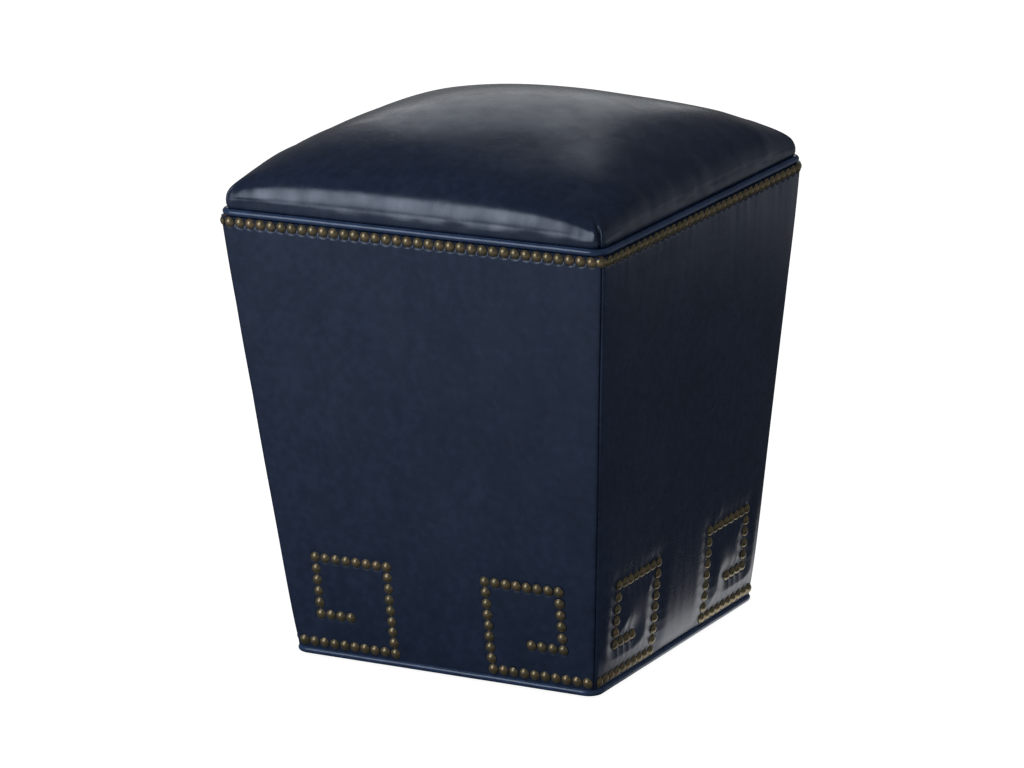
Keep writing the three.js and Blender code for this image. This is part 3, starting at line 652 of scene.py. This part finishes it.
def shrunk_ring(path, half, distance):
    """Points of a plan outline drawn in towards the axis."""
    return path * (1 - distance / half)


# Crown of the seat cushion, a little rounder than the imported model's
SEAT_SIDE_HEIGHT = 0.0608
SEAT_CROWN_HEIGHT = 0.0258
SEAT_SIDE_EXPONENT = 3.15
SEAT_CROWN_EXPONENT = 1.85
SEAT_SWELL_SHARE = 0.4
SEAT_NECK_SHARE = 0.08
SEAT_CELL = 0.0062
SEAT_EDGE_CELL = 0.0013
SEAT_MIDDLE_CELL = 0.0048
SEAT_EDGE_ZONE = 0.055
SEAT_START_INSET = 0.0006
SEAT_SWELL_LIMIT = 0.0010
SEAT_PRESSURE = 4.0
SEAT_FRAMES = 20
SEAT_CALM_PASSES = 12

# Dart and gathers at each seat corner
DART_WIDTH = 0.0013
DART_DEPTH = 0.0026
DART_HEIGHT = 0.017
GATHER_OFFSET = 0.0038
GATHER_WIDTH = 0.0021
GATHER_HEIGHT = 0.0008
GATHER_LEVEL = 0.012
GATHER_FADE = 0.014
DART_REACH = 0.06

# Streaks on the shoulders and slow unevenness of the seat
STREAK_HEIGHT = 0.0005
STREAK_LENGTH = 0.011
BROAD_STREAK_LENGTH = 0.027
BROAD_STREAK_SHARE = 1.6
SHOULDER_START = 0.006
SHOULDER_REACH = 0.05
UNEVEN_HEIGHT = 0.0006
UNEVEN_LENGTH = 0.07


def seat_rise(share_x, share_y, inset):
    """Height of the crowned seat above its widest level at shares of the half width."""
    full = SEAT_SIDE_HEIGHT + SEAT_CROWN_HEIGHT
    side = (1 - np.abs(share_x) ** SEAT_SIDE_EXPONENT) * (1 - np.abs(share_y) ** SEAT_SIDE_EXPONENT)
    crown = (1 - share_x * share_x) * (1 - share_y * share_y)
    rise = SEAT_SIDE_HEIGHT * side ** (1 / SEAT_SIDE_EXPONENT)
    rise += SEAT_CROWN_HEIGHT * crown**SEAT_CROWN_EXPONENT
    return rise * (1 - (SEAT_BULGE_Z - SEAT_BASE_Z + inset) / full)


def crown_travel():
    """Shares of the half width from the middle of the crown to its side, with the distance travelled."""
    share = 1 - np.linspace(1, 0, 4000) ** 3
    height = seat_rise(share, np.zeros_like(share), 0)
    steps = np.hypot(np.diff(share) * SEAT_HALF, np.diff(height))
    return share, np.concatenate([[0], np.cumsum(steps)])


def mirrored_shares(distances):
    """Shares on both sides of the middle at distances travelled along the crown."""
    share, travel = crown_travel()
    half = np.interp(distances, travel, share)
    half[-1] = 1.0
    return np.concatenate([-half[:0:-1], half])


def even_shares():
    """Shares at even distances, for the simulation."""
    _, travel = crown_travel()
    return mirrored_shares(np.linspace(0, travel[-1], round(travel[-1] / SEAT_CELL) + 1))


def fine_shares():
    """Shares closer together near the sides, where the darts and creases are."""
    _, travel = crown_travel()
    edge = travel[-1] - SEAT_EDGE_ZONE
    middle = spaced(0, edge, SEAT_MIDDLE_CELL)
    return mirrored_shares(np.array(middle + spaced(edge, travel[-1], SEAT_EDGE_CELL) + [travel[-1]]))


def crown_points(shares, inset):
    """Grid of points on the crown, inset from its full size, with the corners rounded in plan."""
    half, radius = SEAT_HALF - inset, SEAT_CORNER_RADIUS - inset
    share_x, share_y = np.meshgrid(shares, shares, indexing="ij")
    x, y = share_x * half, share_y * half
    straight = half - radius
    over_x, over_y = np.abs(x) - straight, np.abs(y) - straight
    in_corner = (over_x > 0) & (over_y > 0)
    pull = np.where(in_corner, np.maximum(over_x, over_y) / np.maximum(np.hypot(over_x, over_y), 1e-9), 1)
    x = np.where(in_corner, np.sign(x) * (straight + over_x * pull), x)
    y = np.where(in_corner, np.sign(y) * (straight + over_y * pull), y)
    return np.stack([x, y, SEAT_BULGE_Z + seat_rise(share_x, share_y, inset)], axis=2)


def seat_levels(inset):
    """Rings below the widest level as height and distance inwards, down and then in under the seat."""
    hug = WELT_RADIUS + 2 * JOINT_GAP
    foot = SEAT_HALF - SEAT_FOOT_HALF
    inside = foot + LEATHER_THICKNESS
    levels = [(TOP_WELT_Z + hug + (SEAT_BULGE_Z - TOP_WELT_Z - hug) * 0.5, SEAT_NECK_SHARE * WELT_RADIUS)]
    levels.append((TOP_WELT_Z + hug, SEAT_SWELL_SHARE * WELT_RADIUS))
    for angle in (math.radians(65), math.radians(45), math.radians(20)):
        levels.append((TOP_WELT_Z + hug * math.sin(angle), hug * math.cos(angle)))
    levels += [
        (TOP_WELT_Z, foot),
        (LIP_BOTTOM_Z, foot),
        (LIP_BOTTOM_Z, foot + SEAT_LIP_WIDTH),
        (LIP_TOP_Z, foot + SEAT_LIP_WIDTH),
        (LIP_TOP_Z, inside),
        (DECK_TOP_Z + JOINT_GAP, inside),
    ]
    return [(z, max(distance - inset, 0)) for z, distance in levels]


def close_seat(crown, inset):
    """Closed seat from its crown: down behind the welt, in under the deck, up and across its bed."""
    half = SEAT_HALF - inset
    count = crown.shape[0]
    last = count - 1
    index = np.arange(count * count).reshape(count, count)
    points = [tuple(point) for point in crown.reshape(-1, 3)]
    faces = grid_faces(index)
    rim = list(index[:-1, 0]) + list(index[-1, :-1]) + list(index[:0:-1, -1]) + list(index[0, :0:-1])
    plan = np.array([points[k][:2] for k in rim])
    above = rim
    for z, distance in seat_levels(inset):
        below = list(range(len(points), len(points) + len(rim)))
        points += [(x, y, z) for x, y in shrunk_ring(plan, half, distance)]
        faces += ring_faces(above, below)
        above = below
    bed = index.copy()
    for old, new in zip(rim, above):
        bed[old // count, old % count] = new
    inwards = 1 - seat_levels(inset)[-1][1] / half
    for i in range(1, last):
        for j in range(1, last):
            x, y, _ = crown[i, j]
            bed[i, j] = len(points)
            points.append((x * inwards, y * inwards, DECK_TOP_Z + JOINT_GAP))
    faces += [face[::-1] for face in grid_faces(bed)]
    return points, faces


def grid_faces(index):
    """Quads of a grid of point numbers, first axis then second counter-clockwise."""
    corners = np.stack([index[:-1, :-1], index[1:, :-1], index[1:, 1:], index[:-1, 1:]], axis=2)
    return [tuple(int(k) for k in quad) for quad in corners.reshape(-1, 4)]


def ring_faces(above, below):
    """Quads between two rings of the same count, seen from outside."""
    count = len(above)
    return [(below[k], below[(k + 1) % count], above[(k + 1) % count], above[k]) for k in range(count)]


def swollen_by_pressure(shares):
    """How far the padding's pressure moves each crown point, by cloth simulation with the rim held."""
    crown = crown_points(shares, SEAT_START_INSET)
    points, faces = close_seat(crown, SEAT_START_INSET)
    mesh = bpy.data.meshes.new("seat_pressure")
    mesh.from_pydata(points, [], faces)
    body = bpy.data.objects.new("seat_pressure", mesh)
    bpy.context.scene.collection.objects.link(body)
    start = np.array(points)
    held = body.vertex_groups.new(name="held")
    lowest = SEAT_BULGE_Z + 0.002
    moving = crown.shape[0] ** 2
    held.add([i for i, p in enumerate(start) if i >= moving or p[2] < lowest], 1.0, "REPLACE")
    cloth = body.modifiers.new("pressure", "CLOTH")
    settings = cloth.settings
    settings.quality = 6
    settings.mass = 0.4
    settings.tension_stiffness = 30
    settings.compression_stiffness = 30
    settings.shear_stiffness = 10
    settings.bending_stiffness = 2
    settings.use_pressure = True
    settings.uniform_pressure_force = SEAT_PRESSURE
    settings.effector_weights.gravity = 0
    settings.vertex_group_mass = "held"
    cloth.collision_settings.use_collision = False
    cloth.point_cache.frame_end = SEAT_FRAMES
    scene = bpy.context.scene
    for step in range(1, SEAT_FRAMES + 1):
        scene.frame_set(step)
    swollen = body.evaluated_get(bpy.context.evaluated_depsgraph_get()).data
    moved = np.array([vertex.co for vertex in swollen.vertices]) - start
    bpy.data.objects.remove(body)
    scene.frame_set(1)
    moved = moved[:moving].reshape(crown.shape)
    for _ in range(SEAT_CALM_PASSES):
        moved[1:-1, 1:-1] = (moved[:-2, 1:-1] + moved[2:, 1:-1] + moved[1:-1, :-2] + moved[1:-1, 2:]) / 4
    far = np.linalg.norm(moved, axis=2, keepdims=True)
    return moved * SEAT_SWELL_LIMIT * np.tanh(far / SEAT_SWELL_LIMIT) / np.maximum(far, 1e-9)


def carried(values, shares, new_shares):
    """Values on one grid of shares, taken over to another grid."""
    rows = np.array([[np.interp(new_shares, shares, row[:, k]) for k in range(3)] for row in values])
    across = range(len(new_shares))
    columns = [[np.interp(new_shares, shares, rows[:, k, j]) for j in across] for k in range(3)]
    return np.array(columns).transpose(2, 1, 0)


def sculpt_seat(piece):
    """Corner darts with their gathers, fine streaks on the shoulders and a slow unevenness."""
    mesh = piece.data
    points = np.array([vertex.co for vertex in mesh.vertices])
    normals = np.array([vertex.normal for vertex in mesh.vertices])
    x, y, z = points.T
    outside = z > TOP_WELT_Z + 0.001
    above = np.clip((z - SEAT_BULGE_Z) / SHOULDER_START, 0, 1) * outside
    near_side = np.clip(1 - (SEAT_HALF - np.maximum(abs(x), abs(y))) / SHOULDER_REACH, 0, 1)
    on_x_side = abs(x) > abs(y)
    along = np.where(on_x_side, y, x)
    streak_place = np.column_stack([along, np.where(on_x_side, 3.0, 8.0), 0.3 * z])
    streaks = waves(streak_place, STREAK_LENGTH, 4)
    streaks += BROAD_STREAK_SHARE * waves(streak_place, BROAD_STREAK_LENGTH, 5)
    out = above * near_side * STREAK_HEIGHT * streaks
    out += above * UNEVEN_HEIGHT * waves(points, UNEVEN_LENGTH, 6)
    across = (abs(x) - abs(y)) / math.sqrt(2)
    from_corner = 2 * SEAT_HALF - abs(x) - abs(y)
    height = z - SEAT_BULGE_Z
    upwards = np.exp(-((np.maximum(height, 0) / DART_HEIGHT) ** 2))
    dart = np.exp(-((across / DART_WIDTH) ** 2)) * upwards
    beside = np.exp(-(((abs(across) - GATHER_OFFSET) / GATHER_WIDTH) ** 2))
    gathers = beside * np.exp(-(((height - GATHER_LEVEL) / GATHER_FADE) ** 2))
    near_corner = np.exp(-((from_corner / DART_REACH) ** 2)) * outside
    out += near_corner * (GATHER_HEIGHT * gathers - DART_DEPTH * dart)
    mesh.vertices.foreach_set("co", (points + normals * out[:, None]).ravel())
    mesh.update()


def make_seat(materials):
    """Seat cushion: leather drawn over the wrapped foam, closed and resting on its deck."""
    coarse, fine = even_shares(), fine_shares()
    crown = crown_points(fine, SEAT_START_INSET)
    crown += carried(swollen_by_pressure(coarse), coarse, fine)
    points, faces = close_seat(crown, SEAT_START_INSET)
    piece = make_piece("seat_cushion", points, faces, materials["seat"], math.radians(60))
    sculpt_seat(piece)
    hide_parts("seat_cover", "seat_wrap", "seat_foam")


# Nails
NAIL_SEGMENTS = 20
NAIL_RINGS = 6
NAIL_STAND = 0.0006
CORNER_NAIL_SINK = 0.0019
NAIL_UNDERSIDE_SHARE = 0.94
NAIL_RIM_HEIGHT = 0.0003
NAIL_TILT = 0.03
NAIL_SHIFT = 0.00012
NAIL_SIZE_SPREAD = 0.008


def nail_profile():
    """Radius and height of a domed head from its rim to its top."""
    sphere = (NAIL_RADIUS**2 + NAIL_HEIGHT**2) / (2 * NAIL_HEIGHT)
    rim_angle = math.asin(NAIL_RADIUS / sphere)
    profile = [(NAIL_UNDERSIDE_SHARE * NAIL_RADIUS, 0.0), (NAIL_RADIUS, NAIL_RIM_HEIGHT)]
    for step in range(1, NAIL_RINGS):
        angle = rim_angle * (1 - step / NAIL_RINGS)
        profile.append((sphere * math.sin(angle), NAIL_HEIGHT - sphere * (1 - math.cos(angle))))
    return profile


def nail_points(spin):
    """Points of one head about the origin, with its dome along +Z."""
    points = [(0.0, 0.0, 0.0)]
    for radius, height in nail_profile():
        for segment in range(NAIL_SEGMENTS):
            angle = spin + 2 * math.pi * segment / NAIL_SEGMENTS
            points.append((radius * math.cos(angle), radius * math.sin(angle), height))
    points.append((0.0, 0.0, NAIL_HEIGHT))
    return np.array(points)


def nail_faces():
    """Faces of one head: flat underside, rim, dome and top."""
    count, rings = NAIL_SEGMENTS, len(nail_profile())
    top = 1 + rings * count
    faces = []
    for k in range(count):
        following = (k + 1) % count
        faces.append((0, 1 + following, 1 + k))
        for ring in range(rings - 1):
            low, high = 1 + ring * count, 1 + (ring + 1) * count
            faces.append((low + k, low + following, high + following, high + k))
        last = 1 + (rings - 1) * count
        faces.append((last + k, last + following, top))
    return faces


def leather_frame(along, z):
    """Place on the front leather with the outward direction, at a nail."""
    outward = Vector((0, -1, -SIDE_SLOPE)).normalized()
    return Vector((along, -float(leather_half(z, nail_plane_half(z) - abs(along))), z)), outward


def make_nails(name, places, face, materials, nodes, draw):
    """Separate domed heads at their places on a face, each set by hand a little unevenly."""
    points, faces = [], []
    shape = nail_faces()
    for along, z in places:
        origin, outward = leather_frame(along, z)
        add_nail(points, faces, shape, origin, outward, draw)
    piece = make_piece(name, turned(np.vstack(points), face), faces, materials["brass"])
    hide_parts(*nodes)


def add_nail(points, faces, shape, origin, outward, draw):
    """Adds one head, tilted by a degree or two and shifted by a fraction of a millimetre."""
    tilt = Vector((draw.gauss(0, NAIL_TILT), draw.gauss(0, NAIL_TILT), draw.gauss(0, NAIL_TILT)))
    direction = (outward + tilt).normalized()
    turn = np.array(direction.to_track_quat("Z", "Y").to_matrix())
    shift = Vector((draw.gauss(0, NAIL_SHIFT), 0, draw.gauss(0, NAIL_SHIFT)))
    centre = np.array(origin + shift + direction * NAIL_STAND)
    scale = 1 + draw.gauss(0, NAIL_SIZE_SPREAD)
    first = sum(len(block) for block in points)
    points.append(scale * nail_points(draw.uniform(0, 1)) @ turn.T + centre)
    faces.extend(tuple(first + k for k in corner) for corner in shape)


def make_all_nails(materials):
    """Top rows, corner nails and Greek keys of the four faces."""
    draw = random.Random(11)
    for face, side in enumerate(SIDE_NAMES):
        left, right = key_margins(face)
        make_nails(f"top_nails_{side}", top_row_places(), face, materials, [f"nails_top_{side}"], draw)
        for hand_name, hand, margin in (("left", 1, left), ("right", -1, right)):
            node = f"nails_key_{side}_{hand_name}"
            places = key_places(hand, margin)
            make_nails(f"key_nails_{side}_{hand_name}", places, face, materials, [node], draw)
        make_corner_nail(face, materials, draw)


def make_corner_nail(face, materials, draw):
    """Nail on the right corner of a face, square to the corner."""
    half = float(leather_half(TOP_NAIL_Z, 0)) - CORNER_RADIUS * (1 - math.sqrt(0.5))
    reach = half - CORNER_NAIL_SINK * math.sqrt(0.5)
    outward = Vector((0.7, -1, -SIDE_SLOPE)).normalized()
    points, faces = [], []
    add_nail(points, faces, nail_faces(), Vector((reach, -reach, TOP_NAIL_Z)), outward, draw)
    name = f"corner_nail_{face + 1}"
    piece = make_piece(name, turned(np.vstack(points), face), faces, materials["brass"])
    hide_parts(f"nail_corner_{face + 1}")


# Dust cloth
CLOTH_THICKNESS = 0.0004
CLOTH_CELLS = 48
CLOTH_SAG = 0.0006
CLOTH_RIPPLE = 0.0004
CLOTH_RIPPLE_LENGTH = 0.03


def make_dust_cloth(materials):
    """Black cloth under the base, a little slack between the glides."""
    _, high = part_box("dust_cover")
    cells = CLOTH_CELLS
    half = high.x
    spots = np.linspace(-half, half, cells + 1)
    top, bottom = [], []
    for x in spots:
        for y in spots:
            slack = (1 - (x / half) ** 2) * (1 - (y / half) ** 2)
            ripple = noise.noise(Vector((x, y, 0.3)) / CLOTH_RIPPLE_LENGTH)
            z = high.z - slack * (CLOTH_SAG + CLOTH_RIPPLE * ripple)
            top.append((x, y, z))
            bottom.append((x, y, z - CLOTH_THICKNESS))
    count = cells + 1
    offset = len(top)
    faces = []
    for i in range(cells):
        for j in range(cells):
            a, b = i * count + j, (i + 1) * count + j
            faces.append((a, b, b + 1, a + 1))
            faces.append((offset + a, offset + a + 1, offset + b + 1, offset + b))
    rim = [i * count for i in range(cells)] + [cells * count + j for j in range(cells)]
    rim += [i * count + cells for i in range(cells, 0, -1)] + list(range(cells, 0, -1))
    for k in range(len(rim)):
        a, b = rim[k], rim[(k + 1) % len(rim)]
        faces.append((b, a, offset + a, offset + b))
    piece = make_piece("dust_cloth", top + bottom, faces, materials["dust_cloth"])
    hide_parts("dust_cover")


def finish_cad_nodes(materials):
    """Gives every carried-over node its material."""
    kinds = {
        "panel": "plywood",
        "corner_post": "hardwood",
        "base_rail": "hardwood",
        "top_rail": "hardwood",
        "seat_deck": "plywood",
        "seat_screw": "steel",
        "glide": "plastic",
    }
    for name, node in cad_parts.items():
        for start, kind in kinds.items():
            if name.startswith(start):
                node.data.materials.clear()
                node.data.materials.append(materials[kind])


# Studio
FLOOR_HALF = 4.0
KEY_WIDTH = 1.15
KEY_HEIGHT = 1.4
KEY_RADIANCE = 1.6
KEY_MIDDLE_WIDTH = 0.6
KEY_MIDDLE_HEIGHT = 0.9
KEY_MIDDLE_RADIANCE = 1.45
BACK_WIDTH = 0.8
BACK_HEIGHT = 1.2
BACK_RADIANCE = 0.6
AMBIENT = 0.36
GLOSSY_HORIZON = 0.13
GLOSSY_ABOVE = 0.05
FLOOR_GLOW = 0.94
# Glow of the floor that only glossy rays see: painted reflections on the stool's front, back and right faces
# and on its nails.
FLOOR_REFLECTED_GLOW = 0.02
FLOOR_REFLECTED_GLOW_FRONT = 0.2
FLOOR_REFLECTED_GLOW_BACK = 0.2
FLOOR_REFLECTED_GLOW_STRIP = 1.05

# Where the floor's glow that only glossy rays see fades in and out (patches that paint reflections on the
# stool), and the grey of its diffuse part
STRIP_STARTS = (0.15, 0.18)
STRIP_ENDS = (0.205, 0.235)
STRIP_ALONG = (-0.16, 0)
STRIP_DISTANCE = (0.3, 0.52)
FRONT_ALONG = (-0.25, -1.0)
BACK_DISTANCE_FADE = (1.3, 1.6)
BACK_ALONG = (0, 0.2)
FLOOR_GREY = 0.4
FLOOR_GREY_IN_GLOSS = 0.04

# Directions in degrees, distances, heights and colours of the lamps
LIGHT_AIM = (0, 0, 0.5)
KEY_PLACE = (243, 1.75, 1.0)
KEY_MIDDLE_PLACE = (243, 1.72, 1.0)
BACK_PLACE = (119, 1.8, 1.2)
KEY_COLOUR = (0.93, 0.95, 1)
BACK_COLOUR = (0.95, 0.98, 1)


def area_light(name, place, aim, width, height, radiance, colour=(1, 1, 1)):
    """Softbox that faces a point; its power follows from the wanted radiance."""
    data = bpy.data.lights.new(name, "AREA")
    data.shape = "RECTANGLE"
    data.size, data.size_y = width, height
    data.energy = radiance * math.pi * width * height
    data.color = colour
    light = bpy.data.objects.new(name, data)
    light.location = place
    light.rotation_euler = (Vector(aim) - Vector(place)).to_track_quat("-Z", "Y").to_euler()
    light.visible_camera = False
    bpy.context.scene.collection.objects.link(light)


def around(direction_degrees, distance, height):
    """Place at a plan direction, a distance from the stool's axis, and a height."""
    angle = math.radians(direction_degrees)
    return (distance * math.cos(angle), distance * math.sin(angle), height)


def make_world():
    """White to camera and transmission rays, dim to glossy rays, and an even soft level otherwise."""
    world = bpy.data.worlds.new("studio")
    bpy.context.scene.world = world
    world.use_nodes = True
    tree = world.node_tree
    tree.nodes.clear()
    path = add_node(tree, "ShaderNodeLightPath")
    seen = maths(tree, "MAXIMUM", path.outputs["Is Camera Ray"], path.outputs["Is Transmission Ray"])
    direction = add_node(tree, "ShaderNodeTexCoord").outputs["Generated"]
    height = add_node(tree, "ShaderNodeSeparateXYZ", {"Vector": direction}).outputs["Z"]
    level = spread(tree, height, GLOSSY_HORIZON, GLOSSY_ABOVE, 0.05, 0.4)
    glow_to_glossy_rays = maths(tree, "MULTIPLY", path.outputs["Is Glossy Ray"], level)
    rest = maths(tree, "SUBTRACT", 1.0, maths(tree, "MAXIMUM", seen, path.outputs["Is Glossy Ray"]))
    soft = maths(tree, "MULTIPLY", rest, AMBIENT)
    strength = maths(tree, "ADD", maths(tree, "MAXIMUM", seen, glow_to_glossy_rays), soft)
    background = add_node(tree, "ShaderNodeBackground", {"Color": (1, 1, 1, 1), "Strength": strength})
    output = add_node(tree, "ShaderNodeOutputWorld")
    tree.links.new(background.outputs["Background"], output.inputs["Surface"])


def make_floor():
    """Floor with the stool's shadow: pale to the camera; dark to glossy rays but for glowing patches graded
    by place, which paint reflections on the stool.
    """
    half = FLOOR_HALF
    mesh = bpy.data.meshes.new("floor")
    corners = [(-half, -half, 0), (half, -half, 0), (half, half, 0), (-half, half, 0)]
    mesh.from_pydata(corners, [], [(0, 1, 2, 3)])
    floor = bpy.data.objects.new("floor", mesh)
    bpy.context.scene.collection.objects.link(floor)
    material = bpy.data.materials.new("pale_floor")
    material.use_nodes = True
    tree = material.node_tree
    tree.nodes.clear()
    path = add_node(tree, "ShaderNodeLightPath")
    place = add_node(tree, "ShaderNodeTexCoord").outputs["Object"]
    distance = add_node(tree, "ShaderNodeVectorMath", {0: place}, operation="LENGTH").outputs["Value"]
    spot = add_node(tree, "ShaderNodeSeparateXYZ", {"Vector": place})
    across, along = spot.outputs["X"], spot.outputs["Y"]
    # Glow seen only in reflections, in a strip beside the right face and on the floor in front and far
    # behind: painted reflections on the stool.
    strip = maths(tree, "MULTIPLY", spread(tree, across, 0, 1, *STRIP_STARTS), FLOOR_REFLECTED_GLOW_STRIP)
    strip = maths(tree, "MULTIPLY", strip, spread(tree, across, 1, 0, *STRIP_ENDS))
    strip = maths(tree, "MULTIPLY", strip, spread(tree, along, 0, 1, *STRIP_ALONG))
    strip = maths(tree, "MULTIPLY", strip, spread(tree, distance, 1, 0, *STRIP_DISTANCE))
    front = spread(tree, along, 0, 1, *FRONT_ALONG)
    far = spread(tree, distance, 0, 1, *BACK_DISTANCE_FADE)
    back = maths(tree, "MULTIPLY", far, spread(tree, along, 0, 1, *BACK_ALONG))
    near = maths(tree, "ADD", strip, FLOOR_REFLECTED_GLOW)
    near = maths(tree, "ADD", near, maths(tree, "MULTIPLY", front, FLOOR_REFLECTED_GLOW_FRONT))
    near = maths(tree, "ADD", near, maths(tree, "MULTIPLY", back, FLOOR_REFLECTED_GLOW_BACK))
    seen = maths(tree, "MAXIMUM", path.outputs["Is Camera Ray"], path.outputs["Is Transmission Ray"])
    glow_to_glossy_rays = maths(tree, "MULTIPLY", path.outputs["Is Glossy Ray"], near)
    strength = maths(tree, "MAXIMUM", maths(tree, "MULTIPLY", seen, FLOOR_GLOW), glow_to_glossy_rays)
    glow = add_node(tree, "ShaderNodeEmission", {"Color": (1, 1, 1, 1), "Strength": strength})
    lit = maths(tree, "SUBTRACT", 1.0, path.outputs["Is Glossy Ray"])
    grey = spread(tree, lit, FLOOR_GREY_IN_GLOSS, FLOOR_GREY, 0.0, 1.0)
    matt = add_node(tree, "ShaderNodeBsdfDiffuse", {"Color": grey})
    both = add_node(tree, "ShaderNodeAddShader", {0: glow.outputs["Emission"], 1: matt.outputs["BSDF"]})
    output = add_node(tree, "ShaderNodeOutputMaterial")
    tree.links.new(both.outputs["Shader"], output.inputs["Surface"])
    mesh.materials.append(material)


def make_studio():
    """Large softbox at the front left, a panel at the back left, and the pale surroundings."""
    key = (KEY_WIDTH, KEY_HEIGHT, KEY_RADIANCE, KEY_COLOUR)
    area_light("key_softbox", around(*KEY_PLACE), LIGHT_AIM, *key)
    middle = (KEY_MIDDLE_WIDTH, KEY_MIDDLE_HEIGHT, KEY_MIDDLE_RADIANCE, KEY_COLOUR)
    area_light("key_middle", around(*KEY_MIDDLE_PLACE), LIGHT_AIM, *middle)
    back = (BACK_WIDTH, BACK_HEIGHT, BACK_RADIANCE, BACK_COLOUR)
    area_light("back_panel", around(*BACK_PLACE), LIGHT_AIM, *back)
    make_world()
    make_floor()
    bpy.context.scene.view_settings.view_transform = "Standard"


def build():
    """Makes every piece and the studio."""
    make_camera()
    materials = make_materials()
    make_seat(materials)
    for face in range(4):
        make_side(face, materials)
    make_welt("welt_bottom_cord", BOTTOM_WELT_HALF, BOTTOM_WELT_Z, 1, materials, "welt_bottom")
    make_welt("welt_top_cord", TOP_WELT_HALF, TOP_WELT_Z, -1, materials, "welt_top")
    make_all_nails(materials)
    make_dust_cloth(materials)
    finish_cad_nodes(materials)
    make_studio()


build()
